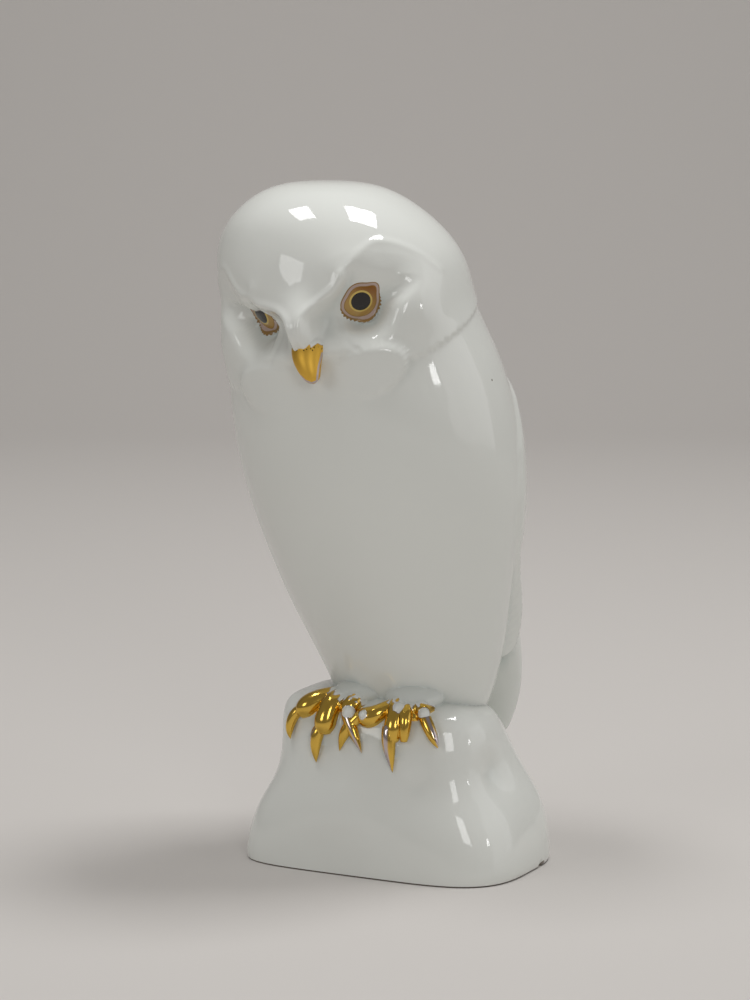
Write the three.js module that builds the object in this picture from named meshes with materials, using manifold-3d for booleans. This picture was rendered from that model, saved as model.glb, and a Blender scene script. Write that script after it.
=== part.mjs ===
// Porcelain owl figurine: a slip-cast, glazed owl perched on a rock, cast in one piece.
// Millimetres, +Z up, the bird looks along -Y, the origin is at the middle of the underside.
import * as THREE from 'three';
import { ParametricGeometry } from 'three/addons/geometries/ParametricGeometry.js';
import * as BufferGeometryUtils from 'three/addons/utils/BufferGeometryUtils.js';
import Module from 'manifold-3d';

// Driving dimensions of the bird's body and head: level rings from the belly to the crown.
// Each ring has its height, the middle's place, half the width and half the depth.
const BIRD_RINGS = [
  { z: 64, x: 0, y: 12, width: 0, depth: 0 },
  { z: 66, x: 0, y: 12, width: 34, depth: 28 },
  { z: 79, x: 2.5, y: 12, width: 39.5, depth: 33 },
  { z: 94, x: 2.5, y: 11, width: 44.5, depth: 38.5 },
  { z: 113, x: 0.5, y: 9, width: 51, depth: 46.5 },
  { z: 134, x: -2, y: 5, width: 57, depth: 54 },
  { z: 158, x: -3, y: -1, width: 63, depth: 60 },
  { z: 182, x: -4, y: -5, width: 69, depth: 66 },
  { z: 206, x: -5, y: -10, width: 72, depth: 70 },
  { z: 230, x: -7, y: -14, width: 72, depth: 70 },
  { z: 256, x: -10, y: -18, width: 70, depth: 69 },
  { z: 275, x: -12, y: -23, width: 65.5, depth: 65.5 },
  { z: 291, x: -14.5, y: -28, width: 63, depth: 63 },
  { z: 308, x: -17, y: -30, width: 63.5, depth: 61 },
  { z: 322, x: -19.6, y: -32, width: 58, depth: 55 },
  { z: 335, x: -21.3, y: -34.5, width: 46, depth: 46 },
  { z: 347.3, x: -22.4, y: -36, width: 27, depth: 27 },
  { z: 348.3, x: -22.4, y: -36, width: 0, depth: 0 },
];

// Driving dimensions of the rock. Square is how square the ring's corners are.
const ROCK_RINGS = [
  { z: 0, x: 1.5, y: 0, width: 72.5, depth: 49, square: 4.6 },
  { z: 3, x: 1.5, y: 0, width: 74.5, depth: 49, square: 4.6 },
  { z: 26, x: 2, y: 0, width: 70.5, depth: 47.5, square: 4.2 },
  { z: 43, x: 2, y: 0, width: 61, depth: 44.5, square: 3.4 },
  { z: 59, x: 0.7, y: 0, width: 58.2, depth: 42.5, square: 3 },
  { z: 72, x: -0.7, y: 0, width: 57.3, depth: 40, square: 2.8 },
  { z: 82, x: -2, y: -1, width: 55, depth: 36, square: 2.8 },
  { z: 88, x: -4, y: -2, width: 42, depth: 27, square: 2.6 },
  { z: 91, x: -5, y: -3, width: 0, depth: 0, square: 2.4 },
];
const ROCK_CORNER_SWING = 0.25;

// Swellings and hollows of the rock: where, how far out or in, and how wide.
// Above the lobe level they push upwards too.
const ROCK_LOBES = [
  { name: 'shoulder under the wing', at: [50, -22, 72], height: 3.5, reach: 20 },
  { name: 'lower top beside the feet', at: [44, 4, 90], height: -5, reach: 24 },
  { name: 'hollow below the shoulder', at: [62, -12, 52], height: -4, reach: 13 },
  { name: 'rear foot on the wing side', at: [66, 26, 40], height: 3.5, reach: 20 },
  { name: 'ledge across the front', at: [-12, -46, 38], height: 2.5, reach: 22 },
  { name: 'hollow above the ledge', at: [-18, -43, 56], height: -1.6, reach: 18 },
  { name: 'scoop under the left foot', at: [34, -45, 46], height: -2.6, reach: 13 },
  { name: 'waist on the right', at: [-60, -18, 50], height: -2.5, reach: 15 },
];
const ROCK_LOBE_LEVEL = 55;

// Tail, from its end up to where it sinks into the back, and its feathers.
const TAIL_RINGS = [
  { z: 43, x: -1, y: 47, width: 0, depth: 0 },
  { z: 44, x: -1, y: 47, width: 24, depth: 5 },
  { z: 52, x: -1, y: 48, width: 34, depth: 8 },
  { z: 66, x: 0, y: 50, width: 41, depth: 10.5 },
  { z: 85, x: 1, y: 51, width: 45, depth: 12 },
  { z: 112, x: 1, y: 46.5, width: 46, depth: 14 },
  { z: 142, x: 0, y: 37, width: 43, depth: 16 },
  { z: 170, x: -3, y: 28, width: 38, depth: 18 },
  { z: 171, x: -3, y: 28, width: 0, depth: 0 },
];

// Head: the middle of the skull and how it is turned, bowed and tipped, in degrees.
const HEAD_MIDDLE = new THREE.Vector3(-12.8, -28.9, 293.2);
const HEAD_TURN = 7;
const HEAD_BOW = 21.2;
const HEAD_TIP = -11.5;
const HEAD_RADIUS = 62;
const HEAD_FOOT = 240;
const HEAD_FOOT_REACH = 6;

// Face, drawn on the skull in millimetres to the side of and above its middle line.
const BRIDGE_MIDDLE = 12;
const BRIDGE_HALF = [9, 13];
const BRIDGE_HEIGHT = 11;
const BRIDGE_RIGHT_WIDER = 2.5;
const BROW_LINE = [
  [2.5, -3], [1.8, 6], [2, 12], [3, 16], [5.5, 19.2], [12, 22.2], [17.8, 24.1], [23.2, 26.4], [26.5, 30],
  [30, 33.5], [34.5, 35], [39, 37], [46.7, 40], [54.6, 40.6], [62.8, 37], [73, 27], [82, 10],
];
const BROW_HEIGHT = 1.6;
const BROW_CREST = 2;
const BROW_WALL = 6;
const BROW_WALL_WIDENING = 9;
const BROW_SOFT_FROM = 42;
const BROW_SWELL = 1.3;
const BROW_SWELL_REACH = 13;
const BROW_SWELL_MIDDLE = 22;
const BROW_SWELL_HALF = 14;
const DISC_EDGE_LINE = [
  [0, -2.5], [8, -3], [15, -3.4], [22, -3.4], [30, -2.5], [38, -0.5], [45, 2.5], [52, 6], [60, 9.5],
  [68, 12], [80, 12],
];
const DISC_DEPTH = 10;
const DISC_FALL = 7;
const DISC_REACH = 84;
const DISC_EDGE_HEIGHT = 0.8;
const DISC_EDGE_HALF = 1.8;
const DISC_EDGE_REACH = 42;

// Towards the cheek the disc's lower wall is softer, and on the bird's left it is lower and softer still.
const DISC_CHEEK_FROM = 44;
const DISC_CHEEK_FALL = 4;
const DISC_LEFT_FROM = 10;
const DISC_LEFT_SLOPE = 0.08;
const DISC_LEFT_SOFT_FROM = 25;
const DISC_LEFT_FALL = 6;
const CHEEK_MIDDLE = [60, 0];
const CHEEK_REACH = 15;
const CHEEK_HEIGHT = 3.5;
const BIB_MIDDLE = [26, -14.5];
const BIB_HALF = [17.5, 9.5];
const BIB_HEIGHT = 2.6;
const BIB_FROM = 6;
const BIB_RAMP = 32;

// Eyeballs: the pupil's place in the head's side, front and up, and where it looks, in degrees out and up.
// Each shows inside a circle drawn out to a point at its outer corner.
const EYE_APEX = [26.9, 45.9, 13.5];
const EYE_GAZE_OUT = 30;
const EYE_GAZE_UP = -6;
const EYE_BALL = 22;
const EYE_RADIUS = 10;
const EYE_MIDDLE = [-0.4, -1.3];
const EYE_CORNER = 2.3;
const EYE_CORNER_TURN = 26;
const EYE_CORNER_HALF = 18;
const EYE_LIFT_MOST = 8;
const EYE_EDGE_REACH = 0.9;

// The flat rim round the eyeball: how far behind the pupil it lies, its slope and how wide it fades away.
const SOCKET_BACK = 2.7;
const SOCKET_SLOPE = 0.08;
const SOCKET_REACH = 4;
const SOCKET_OUTER_REACH = 9;
const SOCKET_DEEPEST = 12;
const SOCKET_NEAREST = 0.3;

// Ruff: the step where the plumage of the head lies over the shoulders, lower at the back than in front.
const RUFF_FRONT = -14.5;
const RUFF_BACK = -29;
const RUFF_HEIGHT = 1;
const RUFF_REACH = 24;

// Bill: from its root under the brows to its tip, with half the width and half the thickness.
const BILL_PATH = [
  { at: [-6.5, -80, 276], width: 6.5, thick: 6 },
  { at: [-5.6, -86, 273.5], width: 8, thick: 7 },
  { at: [-4.6, -90, 269.5], width: 8, thick: 6.8 },
  { at: [-3.2, -92, 265.5], width: 7.1, thick: 6.2 },
  { at: [-1.4, -93.4, 261.5], width: 5.7, thick: 5.2 },
  { at: [0.2, -94, 258], width: 4.3, thick: 4 },
  { at: [0.8, -93.8, 255.6], width: 3, thick: 2.8 },
  { at: [0.9, -93.4, 254.6], width: 0, thick: 0 },
];

// Feathered feet, seen as two low mounds between the belly and the toes.
const LEGS = [
  { at: [-12, -20, 90], half: [14, 14.5, 8.5] },
  { at: [18, -18, 90.5], half: [15.5, 15, 9] },
];

// Toes from under the feathers to the last joint: each point of the run with its radius.
const TOES = [
  {
    name: 'right foot, outer',
    path: [
      [-13, -16, 87, 5], [-20, -25, 87.2, 5], [-25, -29, 86.4, 5], [-30, -31.8, 85, 5.2],
      [-34.3, -34.2, 82, 6], [-37, -35.6, 79, 4.8], [-38.6, -36.6, 76.5, 2],
    ],
  },
  {
    name: 'right foot, middle',
    path: [
      [-13, -18, 87, 5.5], [-17.5, -29, 86.6, 5.6], [-20.6, -34.6, 84.5, 6],
      [-21.3, -38, 79.5, 5.6], [-22.3, -39.6, 73.5, 6.2], [-22, -40.3, 69, 2.5],
    ],
  },
  {
    name: 'right foot, inner',
    path: [
      [-10, -18, 87, 5], [-8.5, -29, 87, 6], [-9.5, -34.6, 85, 5], [-10.6, -36.8, 82.6, 4.6],
      [-10.4, -38, 79.5, 2.4],
    ],
  },
  {
    name: 'left foot, inner',
    path: [
      [15, -16, 88, 4], [12.5, -27, 87.2, 3.4], [10, -33.4, 84.8, 3.6],
      [6.5, -36.8, 82.2, 4.8], [2, -37.8, 79.6, 5.8], [-2, -38, 80.6, 4.6],
      [-4.5, -38.4, 79.5, 2],
    ],
  },
  {
    name: 'left foot, middle',
    path: [
      [15, -16, 88, 5.5], [15, -27, 87, 5.5], [15.8, -33, 85.6, 5.4], [16.9, -36.8, 81.6, 5],
      [16.6, -38.8, 77.2, 5.4], [17, -40.3, 73, 4.6], [18.2, -41.3, 69, 1.6],
    ],
  },
  {
    name: 'left foot, outer',
    path: [
      [19, -14, 88, 5], [22, -24, 87, 5], [26, -28.6, 85.9, 4.8], [29.5, -31.6, 84, 4.2],
      [31, -33.4, 82, 2],
    ],
  },
  {
    name: 'left foot, outer pad',
    path: [
      [22, -20, 87, 3.4], [23.6, -27.6, 86, 3.2], [24.6, -31.6, 82.6, 3.2],
      [25.4, -34.3, 79.5, 2.2],
    ],
  },
];

// Claws from the last joint to the tip: each point of the run with its radius.
const CLAWS = [
  {
    name: 'right foot, outer',
    path: [
      [-37.5, -35.5, 80.5, 2.6], [-41, -36.3, 77.6, 3], [-43, -37.2, 72.8, 2.6],
      [-43.4, -38, 68, 1.8], [-42.4, -38.3, 64.5, 0],
    ],
  },
  {
    name: 'right foot, middle',
    path: [
      [-24, -40, 73, 3.2], [-25.8, -41, 69.5, 3.6], [-26.1, -42, 64.5, 2.9],
      [-25.8, -42.6, 59.5, 1.9], [-25.3, -42.8, 55, 0],
    ],
  },
  {
    name: 'right foot, inner',
    path: [
      [-10.5, -38, 82.5, 3], [-9, -39.3, 79.5, 3.3], [-6, -41, 74.8, 3],
      [-3, -42.2, 69.6, 2.3], [0.6, -42.8, 62.5, 0],
    ],
  },
  {
    name: 'left foot, inner',
    path: [
      [-2.5, -38.5, 81, 2.8], [-6, -39.6, 77.4, 3.2], [-9.6, -40.8, 72.8, 3.2],
      [-11.5, -41.6, 67.6, 2], [-12.5, -42, 62, 0],
    ],
  },
  {
    name: 'left foot, middle',
    path: [
      [14.6, -40, 77.5, 3.4], [14.8, -41.5, 73, 3.8], [15.4, -42, 68, 3.4],
      [16.4, -42.8, 63, 2.7], [18.3, -43.6, 54.5, 0],
    ],
  },
  {
    name: 'left foot, outer',
    path: [
      [29.5, -32.5, 84.5, 2.8], [32.7, -34.6, 79.8, 3.4], [36, -36.2, 75.3, 3],
      [38.6, -37.2, 71.2, 2.1], [40.5, -37.4, 68, 0],
    ],
  },
];

// Pads between the toes under the feathers, and the knuckles that stand proud.
const PADS = [
  { at: [-14, -28, 84.5], half: [13, 9.5, 5.5] },
  { at: [21, -26, 85], half: [12, 9, 5.5] },
];
const KNUCKLES = [
  { at: [-8.5, -39.8, 81.9], radius: 3.3 },
  { at: [0.8, -42.6, 80.1], radius: 2.4 },
  { at: [18.4, -37.8, 84.8], radius: 3.2 },
  { at: [31, -34.8, 82.8], radius: 2.9 },
];

// Folded wings: the height and the angle from the front of points on their front edge, in degrees,
// and how far they stand proud of the back, more so at their tips.
const WING_EDGE = [
  [104, 128], [130, 119], [148, 114], [160, 106], [172, 99], [190, 98], [215, 103], [240, 116], [260, 142],
];
const WING_SHOULDER = 254;
const WING_SHOULDER_REACH = 4;
const WING_TIP = 101;
const WING_TIP_REACH = 2.5;
const WING_PARTING = 156;
const WING_PARTING_CURVE = 0.7;
const WING_HEIGHT = 1.2;
const WING_TIP_HEIGHT = 9;
const WING_TIP_FROM = 138;
const WING_TIP_RISE = 10;
const WING_EDGE_REACH = 2;
const COVERT_END = 171;
const COVERT_HEIGHT = 0.9;

// How finely each surface is divided.
const BIRD_DIVISIONS = { rings: 54, round: 60 };
const FRONT_CROWDING = 0.5;
const FACE_CROWDING = 0.62;
const FACE_PART = 0.64;
const ROCK_DIVISIONS = { rings: 20, round: 36 };
const TAIL_DIVISIONS = { rings: 10, round: 20 };
const BILL_DIVISIONS = { rings: 8, round: 8 };
const TOE_DIVISIONS = { rings: 7, round: 6 };
const LEG_DIVISIONS = { round: 10, rings: 6 };
const KNUCKLE_DIVISIONS = { round: 7, rings: 5 };

const GLAZE_WHITE = 0xe4e4de;
const GLAZE_ROUGHNESS = 0.12;

// Which values of a ring shrink to nothing at a pole: its width and its depth.
const POLE_SIZES = [3, 4];

const wasm = await Module();
wasm.setup();

// A value on a uniform cubic B-spline whose control values are the rows of a list.
function splineRow(rows, t) {
  const first = Math.min(Math.max(Math.floor(t), 0), rows.length - 4);
  const f = t - first;
  const weights = [
    (1 - f) ** 3 / 6,
    (3 * f ** 3 - 6 * f ** 2 + 4) / 6,
    (-3 * f ** 3 + 3 * f ** 2 + 3 * f + 1) / 6,
    f ** 3 / 6,
  ];
  return rows[0].map((_, k) => weights.reduce((sum, w, i) => sum + w * rows[first + i][k], 0));
}

// The row before the first, mirrored through a pole: its place is the same and its sizes are turned over.
function mirrored(row, sizes) {
  return row.map((value, k) => (sizes.includes(k) ? -value : value));
}

// The row that carries a run straight on beyond its end.
function carriedOn(end, next) {
  return end.map((value, k) => 2 * value - next[k]);
}

function ringRows(rings, keys) {
  return rings.map((ring) => keys.map((key) => ring[key]));
}

// Closes a surface of two parameters into one solid: the seam and the poles are merged.
function solidOf(surface, divisions) {
  const grid = new ParametricGeometry(surface, divisions.rings, divisions.round);
  cutCellsShort(grid);
  return solidOfGeometry(grid);
}

// Cuts each four-sided cell of a grid along its shorter diagonal, so that ridges that slant stay smooth.
function cutCellsShort(grid) {
  const index = grid.index.array;
  const point = (i) => new THREE.Vector3().fromBufferAttribute(grid.attributes.position, i);
  for (let i = 0; i < index.length; i += 6) {
    const [a, b, d] = [index[i], index[i + 1], index[i + 2]];
    const c = index[i + 4];
    if (point(a).distanceTo(point(c)) < point(b).distanceTo(point(d))) {
      index.set([a, b, c, a, c, d], i);
    }
  }
}

function solidOfGeometry(geometry) {
  geometry.deleteAttribute('normal');
  geometry.deleteAttribute('uv');
  const merged = BufferGeometryUtils.mergeVertices(geometry, 1e-3);
  const index = merged.index.array;
  const corners = [];
  for (let i = 0; i < index.length; i += 3) {
    const [a, b, c] = [index[i], index[i + 1], index[i + 2]];
    if (a !== b && b !== c && c !== a) {
      corners.push(a, b, c);
    }
  }
  const places = merged.attributes.position.array;
  if (signedVolume(places, corners) < 0) {
    corners.reverse();
  }
  const mesh = new wasm.Mesh({
    numProp: 3,
    vertProperties: new Float32Array(places),
    triVerts: new Uint32Array(corners),
  });
  return new wasm.Manifold(mesh);
}

function signedVolume(places, corners) {
  const point = (i) => new THREE.Vector3().fromArray(places, 3 * i);
  let volume = 0;
  for (let i = 0; i < corners.length; i += 3) {
    volume += point(corners[i]).dot(point(corners[i + 1]).cross(point(corners[i + 2]))) / 6;
  }
  return volume;
}

// Directions of the head: to the bird's left, out of the face, and up through the crown.
function headDirections() {
  const turn = new THREE.Matrix4().makeRotationZ(THREE.MathUtils.degToRad(HEAD_TURN));
  const bow = new THREE.Matrix4().makeRotationX(THREE.MathUtils.degToRad(HEAD_BOW));
  const tip = new THREE.Matrix4().makeRotationY(THREE.MathUtils.degToRad(HEAD_TIP));
  const all = turn.multiply(bow).multiply(tip);
  const turned = (x, y, z) => new THREE.Vector3(x, y, z).applyMatrix4(all);
  return { side: turned(1, 0, 0), front: turned(0, -1, 0), up: turned(0, 0, 1) };
}

const HEAD = headDirections();

// A place on the head as millimetres round the skull from the face's middle line, and above it.
function headPlace(point) {
  const out = point.clone().sub(HEAD_MIDDLE).normalize();
  const round = Math.atan2(out.dot(HEAD.side), out.dot(HEAD.front));
  const above = Math.asin(THREE.MathUtils.clamp(out.dot(HEAD.up), -1, 1));
  return { round, side: HEAD_RADIUS * round, above: HEAD_RADIUS * above };
}

const bell = (distance, reach) => Math.exp(-((distance / reach) ** 2));
const step = (value) => 1 / (1 + Math.exp(-value));

// The same run of points as a B-spline with evenly spread parameters.
function smoothLine(line, count) {
  const rows = [carriedOn(line[0], line[1]), ...line, carriedOn(line.at(-1), line.at(-2))];
  return Array.from({ length: count }, (_, i) => splineRow(rows, (i / (count - 1)) * (line.length - 1)));
}

const BROW_CURVE = smoothLine(BROW_LINE, 40);
const DISC_EDGE_CURVE = smoothLine(DISC_EDGE_LINE, 30);

// The nearest distance from a place to a run of points, minus on the side of the crown.
function signedDistance(x, y, line) {
  let nearest = Infinity;
  let sign = 1;
  let along = 0;
  for (let i = 0; i + 1 < line.length; i += 1) {
    const [ax, ay] = line[i];
    const [bx, by] = line[i + 1];
    const [dx, dy] = [bx - ax, by - ay];
    const part = THREE.MathUtils.clamp(((x - ax) * dx + (y - ay) * dy) / (dx * dx + dy * dy), 0, 1);
    const [ex, ey] = [x - ax - part * dx, y - ay - part * dy];
    const distance = Math.hypot(ex, ey);
    if (distance < nearest) {
      nearest = distance;
      sign = dx * ey - dy * ex > 0 ? -1 : 1;
      along = (i + part) / (line.length - 1);
    }
  }
  return { distance: sign * nearest, along };
}

// Relief of one half of the face, the other half being its mirror image:
// the bridge over the bill, the brow ridge, the dished disc with its lower edge, the cheek and the bib.
function faceRelief(place) {
  const x = Math.abs(place.side);
  const y = place.above;
  const brow = signedDistance(x, y, BROW_CURVE);
  const left = step(place.side / 4);
  const lower = left * DISC_LEFT_SLOPE * Math.max(0, x - DISC_LEFT_FROM);
  const edge = signedDistance(x, y + lower, DISC_EDGE_CURVE).distance;
  const under = Math.max(0, brow.distance);
  const over = Math.max(0, -edge);
  const fade = Math.max(0, 1 - (x / DISC_REACH) ** 3);
  const wall = BROW_WALL + BROW_WALL_WIDENING * step((x - BROW_SOFT_FROM) / 5);
  const leftSoft = left * step((x - DISC_LEFT_SOFT_FROM) / 5);
  const fall = DISC_FALL + DISC_LEFT_FALL * leftSoft + DISC_CHEEK_FALL * step((x - DISC_CHEEK_FROM) / 4);
  const dish = -DISC_DEPTH * fade * (1 - bell(under, wall)) * (1 - bell(over, fall));
  const ridge = BROW_HEIGHT * (1 - 0.8 * brow.along) * bell(brow.distance, BROW_CREST);
  const bridgeHalf = BRIDGE_HALF[0] + BRIDGE_RIGHT_WIDER * (1 - left);
  const bridge = BRIDGE_HEIGHT * bell(x, bridgeHalf) * bell(y - BRIDGE_MIDDLE, BRIDGE_HALF[1]);
  const swellReach = brow.distance > 0 ? BROW_WALL / 2 : BROW_SWELL_REACH;
  const swell = BROW_SWELL * bell(x - BROW_SWELL_MIDDLE, BROW_SWELL_HALF) * bell(brow.distance, swellReach);
  const rimShare = step((DISC_EDGE_REACH - x) / 4) * (1 - left * step((x - DISC_LEFT_SOFT_FROM) / 3));
  const rim = DISC_EDGE_HEIGHT * rimShare * bell(edge, DISC_EDGE_HALF);
  const cheek = CHEEK_HEIGHT * bell(Math.hypot(x - CHEEK_MIDDLE[0], y - CHEEK_MIDDLE[1]), CHEEK_REACH);
  const span = Math.hypot((x - BIB_MIDDLE[0]) / BIB_HALF[0], (y - BIB_MIDDLE[1]) / BIB_HALF[1]);
  const bibShare = THREE.MathUtils.clamp((x - BIB_FROM) / BIB_RAMP, 0, 1);
  const bib = BIB_HEIGHT * step((1 - span) * 5) * bibShare;
  return dish + ridge + bridge + swell + rim + cheek + bib;
}

// Relief of the ruff: nothing on the head, and a fall below its edge that dies away down the shoulders.
function ruffRelief(place) {
  const edge = (RUFF_FRONT + RUFF_BACK) / 2 + ((RUFF_FRONT - RUFF_BACK) / 2) * Math.cos(place.round);
  const below = edge - place.above;
  return -RUFF_HEIGHT * step(below) * bell(Math.max(0, below), RUFF_REACH);
}

// Relief of the folded wings at a height, an angle from the front and the ring's half width:
// raised inside the front edge down to a parting at the back, below which the tips draw apart.
function wingRelief(z, angle, radius) {
  const front = valueAlong(WING_EDGE, z);
  const turned = Math.abs(THREE.MathUtils.radToDeg(Math.atan2(Math.sin(angle), Math.cos(angle))));
  const inside = THREE.MathUtils.degToRad(turned - front) * radius;
  const part = THREE.MathUtils.clamp((z - WING_TIP) / (WING_PARTING - WING_TIP), 0, 1);
  const openShare = part ** WING_PARTING_CURVE;
  const toParting = THREE.MathUtils.degToRad(openShare * (180 - front) - (turned - front)) * radius;
  const behind = part < 1 ? toParting : Infinity;
  const share = step(inside / WING_EDGE_REACH) * step(behind / WING_EDGE_REACH);
  const ends = step((WING_SHOULDER - z) / WING_SHOULDER_REACH) * step((z - WING_TIP) / WING_TIP_REACH);
  const height = WING_HEIGHT + WING_TIP_HEIGHT * step((WING_TIP_FROM - z) / WING_TIP_RISE);
  return share * ends * (height + COVERT_HEIGHT * step(z - COVERT_END));
}

// The value at a place in a list of places and values, straight between them.
function valueAlong(pairs, place) {
  const passed = pairs.filter(([at]) => at <= place).length;
  const i = THREE.MathUtils.clamp(passed - 1, 0, pairs.length - 2);
  const [[a, first], [b, second]] = [pairs[i], pairs[i + 1]];
  return THREE.MathUtils.lerp(first, second, THREE.MathUtils.clamp((place - a) / (b - a), 0, 1));
}

// The eye's own out, up and forward, in the head's side, front and up.
function gazeDirections() {
  const out = THREE.MathUtils.degToRad(EYE_GAZE_OUT);
  const up = THREE.MathUtils.degToRad(EYE_GAZE_UP);
  const across = new THREE.Vector3(Math.cos(out), -Math.sin(out), 0);
  const ahead = new THREE.Vector3(Math.sin(out) * Math.cos(up), Math.cos(out) * Math.cos(up), Math.sin(up));
  return { across, over: new THREE.Vector3().crossVectors(across, ahead), ahead };
}

const GAZE = gazeDirections();
const EYE_FRONT = new THREE.Vector3(...EYE_APEX);
const EYE_CENTRE = EYE_FRONT.clone().addScaledVector(GAZE.ahead, -EYE_BALL);

// A direction or place in the head's own side, front and up, with the right half turned over to the left.
function ownHalf(vector) {
  return new THREE.Vector3(Math.abs(vector.dot(HEAD.side)), vector.dot(HEAD.front), vector.dot(HEAD.up));
}

// A place's millimetres out and up from the pupil, square to the gaze.
function eyePlace(own) {
  const offset = own.clone().sub(EYE_FRONT);
  return [offset.dot(GAZE.across), offset.dot(GAZE.over)];
}

// How far a place lies outside the eye's outline.
function eyeDistance(place) {
  const out = place[0] - EYE_MIDDLE[0];
  const up = place[1] - EYE_MIDDLE[1];
  const turn = THREE.MathUtils.radToDeg(Math.atan2(up, out)) - EYE_CORNER_TURN;
  return Math.hypot(out, up) - EYE_RADIUS - EYE_CORNER * bell(turn, EYE_CORNER_HALF);
}

// How far from the skull's middle a direction leaves the eyeball: the further root of a quadratic.
function eyeBallReach(direction) {
  const half = ownHalf(direction).dot(EYE_CENTRE);
  const root = half ** 2 - EYE_CENTRE.lengthSq() + EYE_BALL ** 2;
  return root > 0 ? half + Math.sqrt(root) : 0;
}

// How far from the skull's middle a direction meets the sloping plane of the rim round the eyeball.
function socketReach(direction) {
  const square = GAZE.ahead.clone().addScaledVector(GAZE.over, -SOCKET_SLOPE);
  const across = Math.max(ownHalf(direction).dot(square), SOCKET_NEAREST);
  return (EYE_FRONT.dot(square) - SOCKET_BACK) / across;
}

// Moves a place inside the eye's outline to the eyeball, and one round it to the flat rim.
function eyeLift(point, outward) {
  const own = point.clone().sub(HEAD_MIDDLE);
  const facing = outward.dot(HEAD.front) > 0 ? 1 : 0;
  const place = eyePlace(ownHalf(own));
  const edge = eyeDistance(place);
  const outer = step((place[0] + place[1]) / 3);
  const width = SOCKET_REACH + (SOCKET_OUTER_REACH - SOCKET_REACH) * outer;
  const inside = step(-edge / EYE_EDGE_REACH);
  const ball = THREE.MathUtils.clamp(eyeBallReach(outward) - own.length(), -EYE_LIFT_MOST, EYE_LIFT_MOST);
  const rim = THREE.MathUtils.clamp(socketReach(outward) - own.length(), -SOCKET_DEEPEST, EYE_LIFT_MOST);
  return facing * (inside * ball + (1 - inside) * rim * bell(Math.max(0, edge), width));
}

const birdRows = ringRows(BIRD_RINGS, ['z', 'x', 'y', 'width', 'depth']);
const birdSpline = [mirrored(birdRows[1], POLE_SIZES), ...birdRows, mirrored(birdRows.at(-2), POLE_SIZES)];

// A level ring's point: the angle runs from the front round by the bird's left side.
function ringPoint(row, angle) {
  const [z, x, y, width, depth] = row;
  return new THREE.Vector3(x + width * Math.sin(angle), y - depth * Math.cos(angle), z);
}

function birdSurface(u, v, target) {
  const crowded = Math.sin(2 * Math.PI * (u - FACE_PART)) + Math.sin(2 * Math.PI * FACE_PART);
  const t = (u - (FACE_CROWDING / (2 * Math.PI)) * crowded) * (birdSpline.length - 3);
  const turn = 2 * Math.PI * v;
  const angle = turn - FRONT_CROWDING * Math.sin(turn);
  const row = splineRow(birdSpline, t);
  const point = ringPoint(row, angle);
  const place = headPlace(point);
  const outward = point.clone().sub(HEAD_MIDDLE).normalize();
  const headShare = step((point.z - HEAD_FOOT) / HEAD_FOOT_REACH);
  const relief = headShare * (faceRelief(place) + ruffRelief(place));
  const open = u > 0 && u < 1 ? 1 : 0;
  const level = new THREE.Vector3(Math.sin(angle), -Math.cos(angle), 0);
  target.copy(point).addScaledVector(outward, open * relief);
  target.addScaledVector(level, open * wingRelief(point.z, angle, row[3]));
  target.addScaledVector(outward, open * headShare * eyeLift(target, outward));
}

function ringSurface(rings) {
  const rows = ringRows(rings, ['z', 'x', 'y', 'width', 'depth']);
  const spline = [mirrored(rows[1], POLE_SIZES), ...rows, mirrored(rows.at(-2), POLE_SIZES)];
  return (u, v, target) => {
    target.copy(ringPoint(splineRow(spline, u * (spline.length - 3)), 2 * Math.PI * v));
  };
}

const rockRows = ringRows(ROCK_RINGS, ['z', 'x', 'y', 'width', 'depth', 'square']);
const rockSpline = [carriedOn(rockRows[0], rockRows[1]), ...rockRows, mirrored(rockRows.at(-2), POLE_SIZES)];

// The rock: level rings with rounded corners, a flat underside, and the swellings and hollows laid over it.
function rockSurface(u, v, target) {
  const ring = u * ROCK_DIVISIONS.rings;
  const t = (Math.max(0, ring - 1) / (ROCK_DIVISIONS.rings - 1)) * (rockSpline.length - 3);
  const [z, x, y, width, depth, square] = splineRow(rockSpline, t);
  const angle = 2 * Math.PI * v;
  const [side, back] = [Math.sin(angle), -Math.cos(angle)];
  const power = square * (1 - ROCK_CORNER_SWING * side);
  const reach = (Math.abs(side) ** power + Math.abs(back) ** power) ** (-1 / power) * Math.min(1, ring);
  target.set(x + width * side * reach, y + depth * back * reach, z);
  const outward = target.clone().sub(new THREE.Vector3(x, y, Math.min(z, ROCK_LOBE_LEVEL)));
  outward.divideScalar(Math.max(outward.length(), 1));
  for (const lobe of ROCK_LOBES) {
    const distance = target.distanceTo(new THREE.Vector3(...lobe.at));
    target.addScaledVector(outward, lobe.height * bell(distance, lobe.reach) * Math.min(1, ring));
  }
}

// A direction that no path runs along: a section's side is square to it.
const PATH_REFERENCE = new THREE.Vector3(0, -0.6, 0.8);

// A round form carried along a path, with half its width and thickness given at each point of the path.
function pathSurface(stations) {
  const spline = [
    carriedOn(stations[0], stations[1]),
    ...stations,
    carriedOn(stations.at(-1), stations.at(-2)),
  ];
  const middle = (t) => new THREE.Vector3(...splineRow(spline, t).slice(0, 3));
  const last = spline.length - 3;
  return (u, v, target) => {
    const t = u * last;
    const row = splineRow(spline, t);
    const along = middle(Math.min(t + 0.01, last)).sub(middle(Math.max(t - 0.01, 0))).normalize();
    const side = new THREE.Vector3().crossVectors(along, PATH_REFERENCE).normalize();
    const over = new THREE.Vector3().crossVectors(side, along);
    const angle = 2 * Math.PI * v;
    const open = u > 0 && u < 1 ? 1 : 0;
    target.copy(middle(t));
    target.addScaledVector(side, open * row[3] * Math.cos(angle));
    target.addScaledVector(over, open * row[4] * Math.sin(angle));
  };
}

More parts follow.
